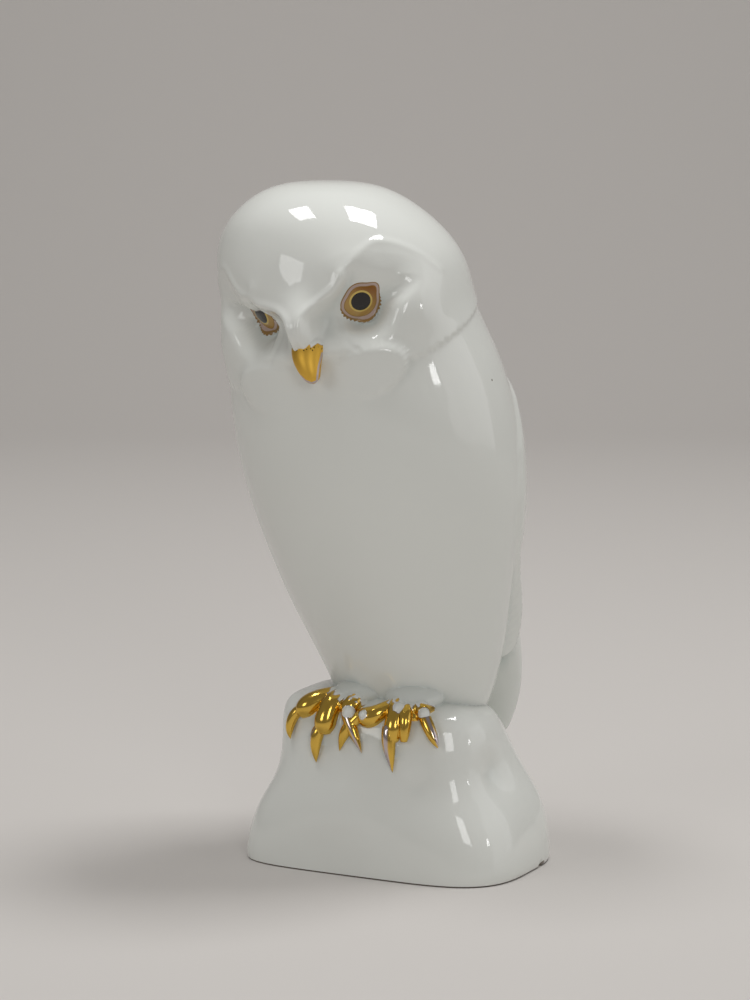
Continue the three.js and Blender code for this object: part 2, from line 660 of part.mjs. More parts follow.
function toeSolid(path) {
  return solidOf(pathSurface(path.map((at) => [...at, at[3]])), TOE_DIVISIONS);
}

function billSolid() {
  const stations = BILL_PATH.map((s) => [...s.at, s.width, s.thick]);
  return solidOf(pathSurface(stations), BILL_DIVISIONS);
}

function moundSolid(at, half, divisions) {
  const mound = new THREE.SphereGeometry(1, divisions.round, divisions.rings);
  mound.rotateX(Math.PI / 2);
  mound.scale(...half);
  mound.translate(...at);
  return solidOfGeometry(mound);
}

function owlSolid() {
  const solids = [
    solidOf(rockSurface, ROCK_DIVISIONS),
    solidOf(ringSurface(TAIL_RINGS), TAIL_DIVISIONS),
    billSolid(),
    ...LEGS.map((leg) => moundSolid(leg.at, leg.half, LEG_DIVISIONS)),
    ...PADS.map((pad) => moundSolid(pad.at, pad.half, KNUCKLE_DIVISIONS)),
    ...KNUCKLES.map((knuckle) => moundSolid(knuckle.at, Array(3).fill(knuckle.radius), KNUCKLE_DIVISIONS)),
    ...[...TOES, ...CLAWS].map((toe) => toeSolid(toe.path)),
  ];
  return solids.reduce((whole, next) => whole.add(next), solidOf(birdSurface, BIRD_DIVISIONS));
}

function geometryOf(solid) {
  const mesh = solid.getMesh();
  const geometry = new THREE.BufferGeometry();
  geometry.setAttribute('position', new THREE.BufferAttribute(new Float32Array(mesh.vertProperties), 3));
  geometry.setIndex(new THREE.BufferAttribute(new Uint32Array(mesh.triVerts), 1));
  geometry.computeVertexNormals();
  return geometry;
}

const glaze = new THREE.MeshStandardMaterial({
  color: GLAZE_WHITE,
  roughness: GLAZE_ROUGHNESS,
  metalness: 0,
});
const owl = new THREE.Mesh(geometryOf(owlSolid()), glaze);
owl.name = 'porcelain_owl';

const figurine = new THREE.Group();
figurine.add(owl);

export default figurine;
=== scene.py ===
"""Porcelain owl figurine: one glazed casting with gilt bill and toes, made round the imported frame."""
import math
import bpy
import numpy as np
from bpy.props import FloatProperty, FloatVectorProperty, PointerProperty
from mathutils import Matrix, Vector


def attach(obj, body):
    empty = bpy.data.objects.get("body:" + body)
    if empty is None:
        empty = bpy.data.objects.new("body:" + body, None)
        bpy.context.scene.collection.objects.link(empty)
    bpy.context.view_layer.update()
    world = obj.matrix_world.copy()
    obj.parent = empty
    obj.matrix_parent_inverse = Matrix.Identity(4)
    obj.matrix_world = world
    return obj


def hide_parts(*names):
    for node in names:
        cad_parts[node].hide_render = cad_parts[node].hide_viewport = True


bl_info = {
    "name": "Porcelain owl figurine",
    "version": (1, 0, 0),
    "blender": (4, 5, 0),
    "location": "View3D > Sidebar > Owl",
    "description": "Builds a glazed porcelain owl on a rock, with gilt bill and toes and painted eyes",
    "category": "Add Mesh",
}

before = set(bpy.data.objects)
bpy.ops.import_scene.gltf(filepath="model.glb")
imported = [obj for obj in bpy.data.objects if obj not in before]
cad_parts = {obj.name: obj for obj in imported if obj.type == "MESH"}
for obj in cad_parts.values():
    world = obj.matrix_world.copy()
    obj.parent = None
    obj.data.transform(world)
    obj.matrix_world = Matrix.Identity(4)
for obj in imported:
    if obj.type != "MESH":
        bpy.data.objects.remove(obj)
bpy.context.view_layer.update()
NODE = "porcelain_owl"
MM = 0.001
TAU = 2 * math.pi

# Shapes are in millimetres and degrees. A pair that is handed to ramp() is the place where something is
# half way in and the width it comes in over, which is minus where it goes out.

# Rings of the bird from the belly to the crown: height, the middle's x and y, half the width, half the depth.
BIRD_RINGS = [
    (64, 0, 12, 0, 0),
    (66, 0, 12, 34, 28),
    (79, 2.5, 12, 39.5, 33),
    (94, 2.5, 11, 44.5, 38.5),
    (113, 0.5, 9, 51, 46.5),
    (134, -2, 5, 57, 54),
    (158, -3, -1, 63, 60),
    (182, -4, -5, 69, 66),
    (206, -5, -10, 72, 70),
    (230, -7, -14, 72, 70),
    (256, -10, -18, 70, 69),
    (275, -12, -23, 65.5, 65.5),
    (291, -14.5, -28, 63, 63),
    (308, -17, -30, 63.5, 61),
    (322, -19.6, -32, 58, 55),
    (335, -21.3, -34.5, 46, 46),
    (347.3, -22.4, -36, 27, 27),
    (348.3, -22.4, -36, 0, 0),
]

# Rings of the rock, the last value being how square the corners are. The corners are by the share below
# rounder on the bird's left and squarer on its right.
ROCK_RINGS = [
    (0, 1.5, 0, 72.5, 49, 4.6),
    (3, 1.5, 0, 74.5, 49, 4.6),
    (26, 2, 0, 70.5, 47.5, 4.2),
    (43, 2, 0, 61, 44.5, 3.4),
    (59, 0.7, 0, 58.2, 42.5, 3),
    (72, -0.7, 0, 57.3, 40, 2.8),
    (82, -2, -1, 55, 36, 2.8),
    (88, -4, -2, 42, 27, 2.6),
    (91, -5, -3, 0, 0, 2.4),
]
ROCK_CORNER_SWING = 0.25

# Swellings and hollows of the rock: place, height, reach. Above the level they push upwards too.
ROCK_LOBES = [
    ((50, -22, 72), 3.5, 20),
    ((44, 4, 90), -5, 24),
    ((62, -12, 52), -4, 13),
    ((66, 26, 40), 3.5, 20),
    ((-12, -46, 38), 2.5, 22),
    ((-18, -43, 56), -1.6, 18),
    ((34, -45, 46), -2.6, 13),
    ((-60, -18, 50), -2.5, 15),
]
ROCK_LOBE_LEVEL = 55
# A small chip in the foot: its angle from the front, height, depth and reach.
CHIP = (104, 0.8, 2.8, 2)

# Rings of the tail from its lower edge to where the back hides it.
TAIL_RINGS = [
    (43, -1, 47, 0, 0),
    (44, -1, 47, 24, 5),
    (52, -1, 48, 34, 8),
    (66, 0, 50, 41, 10.5),
    (85, 1, 51, 45, 12),
    (112, 1, 46.5, 46, 14),
    (142, 0, 37, 43, 16),
    (170, -3, 28, 38, 18),
    (171, -3, 28, 0, 0),
]
# The width of a tail feather, the depth and half width of the grooves between feathers, and the half width
# past which a ring has them. Then how far each tip hangs, below which height, and on rings past which half
# width.
TAIL_FEATHER = 9.3
TAIL_GROOVE = 0.9
TAIL_GROOVE_HALF = 1.3
TAIL_GROOVE_FROM = 20
TAIL_SCALLOP = 4
TAIL_SCALLOP_BELOW = (58, -4)
TAIL_SCALLOP_FROM = 1

# The skull's middle, how the head is turned, bowed and tipped, the radius that places on the face are
# measured at, and where the head's relief begins above the body.
HEAD_MIDDLE = np.array([-12.8, -28.9, 293.2])
HEAD_TURN = 7
HEAD_BOW = 21.2
HEAD_TIP = -11.5
HEAD_RADIUS = 62
HEAD_FOOT = (240, 6)

# The face, to the side of and above its middle line. What differs between its halves blends over this.
HALVES_BLEND = 4
# The bridge between the eyes: its middle, half sizes, height, and how much wider it is on the right.
BRIDGE_MIDDLE = 12
BRIDGE_HALF = (9, 13)
BRIDGE_HEIGHT = 11
BRIDGE_RIGHT_WIDER = 2.5
# The brow ridge: its line from the bill outwards, half its width, and what share of its height it loses by
# the far end. Below it the disc's wall falls over BROW_WALL, and past BROW_SOFT over more.
BROW_LINE = [
    (2.5, -3), (1.8, 6), (2, 12), (3, 16), (5.5, 19.2), (12, 22.2), (17.8, 24.1), (23.2, 26.4), (26.5, 30),
    (30, 33.5), (34.5, 35), (39, 37), (46.7, 40), (54.6, 40.6), (62.8, 37), (73, 27), (82, 10),
]
BROW_POINTS = 70
BROW_CREST = 2
BROW_LOSS = 0.8
BROW_WALL = 6
BROW_WALL_WIDENING = 9
BROW_SOFT = (42, 5)
# A swelling along the brow: its height, reach above the line, and middle and half width to the side. Then
# a knob on it.
BROW_SWELL = 1.3
BROW_SWELL_REACH = 13
BROW_SWELL_MIDDLE = 22
BROW_SWELL_HALF = 14
BROW_KNOB = (27, 30.5)
BROW_KNOB_HEIGHT = 1
BROW_KNOB_REACH = 4
# The right brow sags over the eye: how far, where and how wide.
RIGHT_BROW_DROP = 9
RIGHT_BROW_DROP_MIDDLE = 40
RIGHT_BROW_DROP_HALF = 16
# The disc's lower edge, how wide its wall falls there, and how far to the side the disc reaches. A low rim
# runs along the edge: its height, half width, where it ends, and where it is lost on the left.
DISC_EDGE_LINE = [
    (0, -2.5), (8, -3), (15, -3.4), (22, -3.4), (30, -2.5), (38, -0.5), (45, 2.5), (52, 6), (60, 9.5),
    (68, 12), (80, 12),
]
DISC_EDGE_POINTS = 50
DISC_FALL = 7
DISC_REACH = 84
DISC_EDGE_HEIGHT = 0.4
DISC_EDGE_HALF = 1.8
DISC_EDGE_END = (42, -4)
DISC_EDGE_LEFT_LOSS = (25, 3)
# Towards the cheek the lower wall is softer, and on the bird's left it runs on lower and softer still.
DISC_CHEEK = (44, 4)
DISC_CHEEK_FALL = 4
DISC_LEFT_FROM = 10
DISC_LEFT_SLOPE = 0.08
DISC_LEFT_SOFT = (25, 5)
DISC_LEFT_FALL = 6
CHEEK_MIDDLE = (60, 0)
CHEEK_REACH = 15
CHEEK_HEIGHT = 3.5
# The bib beside and below the bill: its middle, half sizes, height, where to the side it rises and over what
# width, the depth and number of the ruffles round it, and how sharp its edge is.
BIB_MIDDLE = (26, -14.5)
BIB_HALF = (17.5, 9.5)
BIB_HEIGHT = 3.1
BIB_RISE = (6, 32)
BIB_RUFFLE_DEPTH = 0.07
BIB_RUFFLE_COUNT = 26
BIB_SHARPNESS = 18
# The crease beside the bill.
CREASE_LINE = [(19, 11), (18, 6), (18.5, 1), (20.7, -3), (23.3, -5.4)]
CREASE_POINTS = 12
CREASE_DEPTH = 0.7
CREASE_HALF = 1.2

# The eyes, on the head's own side, front and up: the foremost point of the eyeball, how far the gaze turns
# outwards and upwards, and the eyeball's radius.
EYE_APEX = np.array([26.9, 45.9, 13.5])
EYE_GAZE = (30, -6)
EYE_BALL = 22
# The painted outline, out and up from that point: its middle, then the corner that is drawn out and the
# part that is trimmed, each by how much, at which angle and over what half width.
EYE_MIDDLE = (-0.4, -1.3)
EYE_CORNER = 2.3
EYE_CORNER_TURN = 26
EYE_CORNER_HALF = 18
EYE_TRIM = 1.3
EYE_TRIM_TURN = 135
EYE_TRIM_HALF = 32
PUPIL_MIDDLE = (0, -0.8)
# The right eye lies further out and up by this, and the brow and the bridge cover it above this line.
RIGHT_EYE_SHIFT = (1.6, 1.2)
RIGHT_LID = [(12, 3.6), (8.5, 3), (2.4, 1.2), (-4.1, 2.8), (-8, -1), (-10, -6.6)]
# How narrow the blends at the outline and at the lid are, how far the surface is moved at most, and a raised
# rim round the outline: its height, how far outside it runs and half its width.
EYE_BLEND = 0.25
LID_BLEND = 0.5
EYE_LIFT_MOST = 8
EYE_RIM = (0.3, 0.5, 0.8)
# The flat socket round the eyeball: how far behind the pupil it lies, its slope, and the least that a
# direction may face it. It fades away over a reach that grows from the inner lower side to the outer upper
# one. Where it is cut in, its depth has a limit, and at the outer corner it is shallower and wider.
SOCKET_BACK = 2.7
SOCKET_SLOPE = 0.08
SOCKET_LEAST_FACING = 0.3
SOCKET_REACH = 4
SOCKET_OUTER_REACH = 9
SOCKET_REACH_BLEND = 3
SOCKET_DEPTH = 12
SOCKET_DEPTH_SPARED = 7.5
SOCKET_OUTER_WIDER = 10
SOCKET_OUTER_UP = (-3, 1.3)
SOCKET_OUTER_OUT = (0, 2)

# The ruff of short feathers that the head ends in: its height above the middle line at the front and back,
# how far it stands proud, and over what reach that dies away below.
RUFF_FRONT = -14.5
RUFF_BACK = -29
RUFF_HEIGHT = 1.3
RUFF_REACH = 24
# Its tufts: their width, how far they hang, over what distance to the side they fade and where they begin.
# The ruff's edge is sharp among them, and softer nearer the middle.
RUFF_TUFT = 5.5
RUFF_TUFT_DROP = 2.6
RUFF_TUFT_FADE = 95
RUFF_TUFT_FROM = (37, 2)
RUFF_EDGE = 0.5
RUFF_EDGE_SOFTER = 4
RUFF_SOFTER_WITHIN = (37, -3)

# The folded wings: height and angle from the front of their front edge, and where they begin at the shoulder
# and end at the tip.
WING_EDGE = [
    (260, 142), (240, 116), (215, 103), (190, 98), (172, 99), (160, 106), (148, 114), (130, 119), (104, 128),
]
WING_SHOULDER = (254, -4)
WING_TIP = (101, 1.2)
# Down the back they meet in a groove of this half width, and below the parting they draw apart along a curve
# of this power. Above it their inner edge is kept this far off.
WING_PARTING = (156, 4)
WING_PARTING_HALF = 2.2
WING_PARTING_POWER = 0.7
WING_MEETING = 8
# How far they stand proud, how much more towards the tips, and how wide their edge is.
WING_HEIGHT = 1.2
WING_TIP_HEIGHT = 9
WING_TIP_PROUD = (138, -10)
WING_EDGE_REACH = 0.9
# The coverts end at this height, and each hangs lower in its middle. The primaries come out below them.
COVERT_END = 171
COVERT_HEIGHT = 0.9
COVERT_WIDTH = 13
COVERT_DROP = 7
COVERT_BLEND = 0.7
PRIMARY_WIDTH = 7
PRIMARY_GROOVE = 0.9
PRIMARY_GROOVE_HALF = 1
PRIMARY_SCALLOP = 6

# The bill from its root to its tip: middle, half the width, half the thickness.
BILL_PATH = [
    (-6.5, -80, 276, 6.5, 6),
    (-5.6, -86, 273.5, 8, 7),
    (-4.6, -90, 269.5, 8, 6.8),
    (-3.2, -92, 265.5, 7.1, 6.2),
    (-1.4, -93.4, 261.5, 5.7, 5.2),
    (0.2, -94, 258, 4.3, 4),
    (0.8, -93.8, 255.6, 3, 2.8),
    (0.9, -93.4, 254.6, 0, 0),
]

# The feathered feet that the toes come out of: middle and half sizes.
LEGS = [((-12, -20, 88.3), (14, 14.5, 7)), ((18, -18, 88.8), (15.5, 15, 7.4))]

# Toes from under the feathers to the last joint, each point with its radius, and claws to their tips.
TOES = [
    [(-13, -16, 87, 5), (-20, -25, 87.2, 5), (-25, -29, 86.4, 5), (-30, -31.8, 85, 5.2),
     (-34.3, -34.2, 82, 6), (-37, -35.6, 79, 4.8), (-38.6, -36.6, 76.5, 2)],
    [(-13, -18, 87, 5.5), (-17.5, -29, 86.6, 5.6), (-20.6, -34.6, 84.5, 6), (-21.3, -38, 79.5, 5.6),
     (-22.3, -39.6, 73.5, 6.2), (-22, -40.3, 69, 2.5)],
    [(-10, -18, 87, 5), (-8.5, -29, 87, 6), (-9.5, -34.6, 85, 5), (-10.6, -36.8, 82.6, 4.6),
     (-10.4, -38, 79.5, 2.4)],
    [(15, -16, 88, 4), (12.5, -27, 87.2, 3.4), (10, -33.4, 84.8, 3.6), (6.5, -36.8, 82.2, 4.8),
     (2, -37.8, 79.6, 5.8), (-2, -38, 80.6, 4.6), (-4.5, -38.4, 79.5, 2)],
    [(15, -16, 88, 5.5), (15, -27, 87, 5.5), (15.8, -33, 85.6, 5.4), (16.9, -36.8, 81.6, 5),
     (16.6, -38.8, 77.2, 5.4), (17, -40.3, 73, 4.6), (18.2, -41.3, 69, 1.6)],
    [(19, -14, 88, 5), (22, -24, 87, 5), (26, -28.6, 85.9, 4.8), (29.5, -31.6, 84, 4.2), (31, -33.4, 82, 2)],
    [(22, -20, 87, 3.4), (23.6, -27.6, 86, 3.2), (24.6, -31.6, 82.6, 3.2), (25.4, -34.3, 79.5, 2.2)],
    [(20, -33, 86, 3.6), (22.6, -37.8, 83, 3.6), (23.2, -39.6, 78.5, 3.2), (23.2, -40.6, 73.5, 2.6),
     (23.2, -41, 70, 1.6)],
]
CLAWS = [
    [(-37.5, -35.5, 80.5, 2.6), (-41, -36.3, 77.6, 3), (-43, -37.2, 72.8, 2.6), (-43.4, -38, 68, 1.8),
     (-42.4, -38.3, 64.5, 0)],
    [(-24, -40, 73, 3.2), (-25.8, -41, 69.5, 3.6), (-26.1, -42, 64.5, 2.9), (-25.8, -42.6, 59.5, 1.9),
     (-25.3, -42.8, 55, 0)],
    [(-10.5, -38, 82.5, 3), (-9, -39.3, 79.5, 3.3), (-6, -41, 74.8, 3), (-3, -42.2, 69.6, 2.3),
     (0.6, -42.8, 62.5, 0)],
    [(-2.5, -38.5, 81, 2.8), (-6, -39.6, 77.4, 3.2), (-9.6, -40.8, 72.8, 3.2), (-11.5, -41.6, 67.6, 2),
     (-12.5, -42, 62, 0)],
    [(14.6, -40, 77.5, 3.4), (14.8, -41.5, 73, 3.8), (15.4, -42, 68, 3.4), (16.4, -42.8, 63, 2.7),
     (18.3, -43.6, 54.5, 0)],
    [(29.5, -32.5, 84.5, 2.8), (32.7, -34.6, 79.8, 3.4), (36, -36.2, 75.3, 3), (38.6, -37.2, 71.2, 2.1),
     (40.5, -37.4, 68, 0)],
]
# The direction that the side of every bill, toe and claw path is square to.
PATH_REFERENCE = (0, -0.6, 0.8)
# Gilt pads between the toes under the hem of the feathers: middle and half sizes.
PADS = [((-14, -28, 84.5), (13, 9.5, 5.5)), ((21, -26, 85), (12, 9, 5.5))]
# Knuckles that stand proud and have lost their gilding: middle and radius.
KNUCKLES = [
    ((-8.5, -39.5, 82), 3.2), ((0.8, -41.6, 82.2), 2.1), ((18.4, -36.6, 86), 3.1), ((31, -33.8, 84), 2.8),
]

# How many rings each form has and how many points each ring. The bird's crowd at the front and at the face,
# which lies this part of the way up, and the rock's at the chip.
BIRD_GRID = (270, 250)
FRONT_CROWDING = 0.35
FACE_CROWDING = 0.4
FACE_PART = 0.64
ROCK_GRID = (90, 140)
ROCK_CROWDING = 0.5
TAIL_GRID = (60, 180)
BILL_GRID = (60, 48)
TOE_GRID = (30, 18)
LEG_GRID = (24, 40)
KNOB_GRID = (12, 16)
# A union with fewer faces than this has failed.
LEAST_FACES = 1000

PORCELAIN, GILT_TOES, GILT_BILL, EYE_ENAMEL = range(4)

# Hollows are painted greener and darker, for the glaze that pools in them and for painted shade: how many
# rounds smooth the surface and then the hollows, which depth counts as none, and the most that shows. The
# feathered feet, in the shade under the belly, are painted at least their own share darker.
SURFACE_ROUNDS = 6
HOLLOW_ROUNDS = 4
POOLING_AND_SHADE_FROM = 0.05
POOLING_AND_SHADE_MOST = 0.6
FEET_PAINTED_SHADE = 0.35
FEET_PAINTED_SHADE_EDGE = (1.05, -0.05)
# A glossy glaze's roughness and IOR, and its waver: how wide, how strong and how high.
GLAZE_ROUGHNESS = 0.05
GLAZE_IOR = 1.52
WAVER_WIDTH = 50 / 3
WAVER_STRENGTH = 0.25
WAVER_HEIGHT = 0.6
# Dark specks in the glaze, each a place and a radius, and the height of the dark brownish line along
# the bottom.
# The first, at the chip, is painted shadow in the chip rather than a speck.
SPECKS_AND_CHIP_SHADOW = [
    ((73.4, 15.3, 1.2), 2), ((40.8, -39.1, 53.4), 0.9), ((33.7, -71.9, 257.9), 0.6),
    ((60.1, -18.3, 251.6), 0.6),
]
SPECK_AND_CHIP_SHADOW_COLOUR = "#7C746A"
FOOT_LINE = 0.7
FOOT_COLOUR = "#5F574E"

# The gilding's mask is nought on whole gold. From the first value to the second the gold turns to a silvery
# lilac, which the thin gold has at its edges and which the painted reflections use; past the third it is
# gone, and the value of the painted reflections lies between.
GILT_MASK = (0.3, 0.45, 0.5)
PAINTED_REFLECTION = 0.47
LILAC_AND_REFLECTION_COLOUR = "#C9BDBF"
GILT_EDGE = 0.25
# Roughness of the burnished toes and of the duller bill, how far the grain swings it, and the grain's width,
# which is drawn some ten times as coarse as a real brush mark so that it shows.
TOE_ROUGHNESS = 0.14
BILL_ROUGHNESS = 0.5
GRAIN_SWING = 0.05
GRAIN_WIDTH = 10 / 9
# The gilding of the bill ends at its root in teeth: height, length and pitch. Below it dark dots, where the
# gold is thin, set in between these heights: their spacing, and how much of the noise they leave out.
BILL_GILT_TOP = 274.2
BILL_GILT_TOOTH = 2
BILL_GILT_PITCH = 3.3
BILL_DOTS = (266, 271)
DOT_SPACING = 1
DOT_THRESHOLD = 0.63
DOT_COLOUR = "#5E4A22"
# The hem of the feathers over the toes, as shares of the foot's half sizes: its reach, its teeth's length
# and how soft it is, and how many teeth go round.
SOCK_HEM = 1.03
SOCK_TOOTH = 0.24
SOCK_EDGE = 0.02
SOCK_TEETH = 34
# How far past its radius a knuckle is bare.
KNUCKLE_BARE_PAST = 0.35
# Painted reflections of the soft boxes along the claws: claw, place across it and half the width. They are
# seen from this angle.
CLAW_REFLECTIONS = [(1, -3, 0.6), (2, -0.8, 1), (4, -1.6, 1.4), (5, 1.5, 1.3)]
REFLECTION_TURN = 27
REFLECTION_EDGE = 0.2
# A painted reflection runs round the bill's tip and up its left side: places across and up, and half the
# width.
BILL_RIM_REFLECTION = [
    (-48, 258.3), (-45.9, 256.4), (-42.7, 255.2), (-40.1, 256.1), (-39.8, 259.4), (-39.3, 263.2),
    (-37.7, 269.1),
]
BILL_RIM_REFLECTION_HALF = 0.8

# The painted eye: rings by radius from the pupil's middle, bands by distance outside the outline, and where
# the iris darkens, by how far out and up together.
EYE_RINGS = [(5.7, "#CDB25E"), (4.8, "#17120F")]
EYE_BANDS = [(-2.1, "#94713C"), (-1.7, "#B9A49A"), (-0.5, "#94733F")]
IRIS_SHADE = (-2, 10)
# The fringe of strokes below it: least and greatest length, how many half strokes to a radian, and how far
# below the pupil they are full. The paint also ends at the lid, in a dark line.
FRINGE = (0.4, 1.3)
FRINGE_HALF_STROKES = 11
FRINGE_FULL = -6
LID_LINE = (-0.4, "#6A5848")
# How near the outline the faces take the eye's enamel.
ENAMEL_REACH = 4

# The paper sweep, in metres: the floor's reach towards the camera and back to the bend, the bend's radius
# and number of points, the wall's height and half the width.
SWEEP_NEAR = 8
SWEEP_BACK = 1.6
SWEEP_BEND = 1
SWEEP_BEND_POINTS = 40
SWEEP_HEIGHT = 3
SWEEP_HALF_WIDTH = 6
SWEEP_COLOUR = "#D2CECA"

# The camera: turn and lift in degrees, distance, what it looks at, focal length, and how far it sees.
CAMERA_TURN = 27
CAMERA_LIFT = 8.8
CAMERA_DISTANCE = 1.8
CAMERA_AIM = (-11.36 * MM, -4.77 * MM, 185 * MM)
CAMERA_LENS = 127.8
CAMERA_SIGHT = 20

# Soft boxes: turn and lift of their direction in degrees, distance, width and height in metres, watts.
SOFT_BOXES = [
    ("key", 128, 74, 1.6, 0.6, 0.42, 11.5),
    ("top_left", -58, 71, 1.6, 0.58, 0.36, 6.5),
    ("front_right", 40, 18, 1.7, 0.38, 0.6, 3.2),
    ("front_left", -22, 17, 1.8, 0.6, 0.56, 3),
    ("side", 84, 10, 1.7, 0.14, 0.15, 0.6),
    ("fill", 112, 14, 2.4, 2, 1.6, 6),
]
LAMP_AIM = (0, 0, 0.2)
# The lamp on the wall behind: how far behind the owl, how high, its width and height in metres, watts, and
# how far its back is tipped up in degrees.
BACKDROP_LAMP = (1.0, 1.5, 1.2, 0.8, 5.2)
BACKDROP_TILT = 40
ROOM_COLOUR = "#DCD9D6"
ROOM_STRENGTH = 0.3


def spline_rows(rows, t):
    """Cubic B-spline: the mean of four neighbouring rows, weighted by cubics of the place between them."""
    rows = np.asarray(rows, float)
    first = np.clip(np.floor(t).astype(int), 0, len(rows) - 4)
    f = (t - first)[..., None]
    return (
        (1 - f) ** 3 * rows[first]
        + (3 * f**3 - 6 * f**2 + 4) * rows[first + 1]
        + (-3 * f**3 + 3 * f**2 + 3 * f + 1) * rows[first + 2]
        + f**3 * rows[first + 3]
    ) / 6


def mirrored(row):
    """The row beyond a pole: the same place, with its width and depth turned over."""
    turned = np.array(row, float)
    turned[3:5] *= -1
    return turned


def carried_on(end, next_row):
    """The row that carries a run straight on beyond its end."""
    return 2 * np.asarray(end, float) - np.asarray(next_row, float)


def bell(distance, reach):
    """A bell curve: one at no distance, falling with the square of distance over reach."""
    return np.exp(-((distance / reach) ** 2))


def step(value):
    """A smooth step from nought to one, half way at nought."""
    return 1 / (1 + np.exp(-np.clip(value, -60, 60)))


def ramp(value, middle, width):
    """The smooth step half way at the middle, rising over the width, or falling where that is minus."""
    return step((value - middle) / width)


def triangle_wave(value):
    """One at each whole number and nought half way between."""
    return np.abs(2 * (value - np.floor(value)) - 1)


def rotation(degrees, axis):
    """The turn by an angle about axis 0, 1 or 2, as a matrix."""
    c, s = math.cos(math.radians(degrees)), math.sin(math.radians(degrees))
    turned = np.eye(3)
    a, b = (axis + 1) % 3, (axis + 2) % 3
    turned[a, a], turned[a, b], turned[b, a], turned[b, b] = c, -s, s, c
    return turned


def head_directions():
    """The head's own side, front and up: tipped about Y, then bowed about X, then turned about Z."""
    whole = rotation(HEAD_TURN, 2) @ rotation(HEAD_BOW, 0) @ rotation(HEAD_TIP, 1)
    return np.array([[1, 0, 0], [0, -1, 0], [0, 0, 1]]) @ whole.T


HEAD = head_directions()


def head_place(points):
    """A place on the head as the angle round the skull, and as millimetres to the side and above."""
    out = points - HEAD_MIDDLE
    out = out / np.linalg.norm(out, axis=-1, keepdims=True)
    side, front, up = (out @ axis for axis in HEAD)
    turned = np.arctan2(side, front)
    return turned, HEAD_RADIUS * turned, HEAD_RADIUS * np.arcsin(np.clip(up, -1, 1))


def signed_distance(x, y, line):
    """Nearest distance to a run of points, minus on its left as it runs, and how far along that is."""
    nearest = np.full(x.shape, np.inf)
    sign = np.ones(x.shape)
    along = np.zeros(x.shape)
    for i, ((ax, ay), (bx, by)) in enumerate(zip(line, line[1:])):
        dx, dy = bx - ax, by - ay
        part = np.clip(((x - ax) * dx + (y - ay) * dy) / (dx * dx + dy * dy), 0, 1)
        ex, ey = x - ax - part * dx, y - ay - part * dy
        distance = np.hypot(ex, ey)
        closer = distance < nearest
        nearest = np.where(closer, distance, nearest)
        sign = np.where(closer, np.where(dx * ey - dy * ex > 0, -1, 1), sign)
        along = np.where(closer, (i + part) / (len(line) - 1), along)
    return sign * nearest, along


def smooth_line(line, count):
    """The same run of points as a B-spline with evenly spread parameters."""
    rows = [carried_on(line[0], line[1]), *line, carried_on(line[-1], line[-2])]
    return [tuple(p) for p in spline_rows(rows, np.linspace(0, len(line) - 1, count))]


BROW_CURVE = smooth_line(BROW_LINE, BROW_POINTS)
DISC_EDGE_CURVE = smooth_line(DISC_EDGE_LINE, DISC_EDGE_POINTS)
CREASE_CURVE = smooth_line(CREASE_LINE, CREASE_POINTS)


def gaze_directions():
    """The eye's own out, up and forward, on the head's side, front and up."""
    a, e = (math.radians(v) for v in EYE_GAZE)
    out = (math.cos(a), -math.sin(a), 0)
    forward = (math.sin(a) * math.cos(e), math.cos(a) * math.cos(e), math.sin(e))
    return np.array([out, np.cross(out, forward), forward])


GAZE = gaze_directions()
EYE_CENTRE = EYE_APEX - EYE_BALL * GAZE[2]


def eye_place(points):
    """Millimetres out and up from the foremost point of the nearer eye, square to its gaze, and its side."""
    own = (points - HEAD_MIDDLE) @ HEAD.T
    side = np.sign(own[..., 0])
    own[..., 0] = np.abs(own[..., 0])
    place = (own - EYE_APEX) @ GAZE.T
    place[..., :2] -= np.where(side < 0, 1, 0)[..., None] * RIGHT_EYE_SHIFT
    place[..., 2] = side
    return place


def eye_distance(place, radius):
    """Distance outside a circle that bells draw out at the outer corner and trim above the inner one."""
    out, up = place[..., 0] - EYE_MIDDLE[0], place[..., 1] - EYE_MIDDLE[1]
    turn = np.degrees(np.arctan2(up, out))
    drawn_out = EYE_CORNER * bell(turn - EYE_CORNER_TURN, EYE_CORNER_HALF)
    return np.hypot(out, up) - radius - drawn_out + EYE_TRIM * bell(turn - EYE_TRIM_TURN, EYE_TRIM_HALF)


def lid_distance(place):
    """Distance above the lid line of the right eye, and far below any lid for the left one."""
    lid, _ = signed_distance(place[..., 0], place[..., 1], RIGHT_LID)
    return np.where(place[..., 2] < 0, lid, -HEAD_RADIUS)


def eye_ball_radius(outward):
    """How far from the skull's middle each direction leaves the eyeball: the further root of a quadratic."""
    own = outward @ HEAD.T
    own[..., 0] = np.abs(own[..., 0])
    half = own @ EYE_CENTRE
    root = half**2 - EYE_CENTRE @ EYE_CENTRE + EYE_BALL**2
    return np.where(root > 0, half + np.sqrt(np.maximum(0, root)), 0)


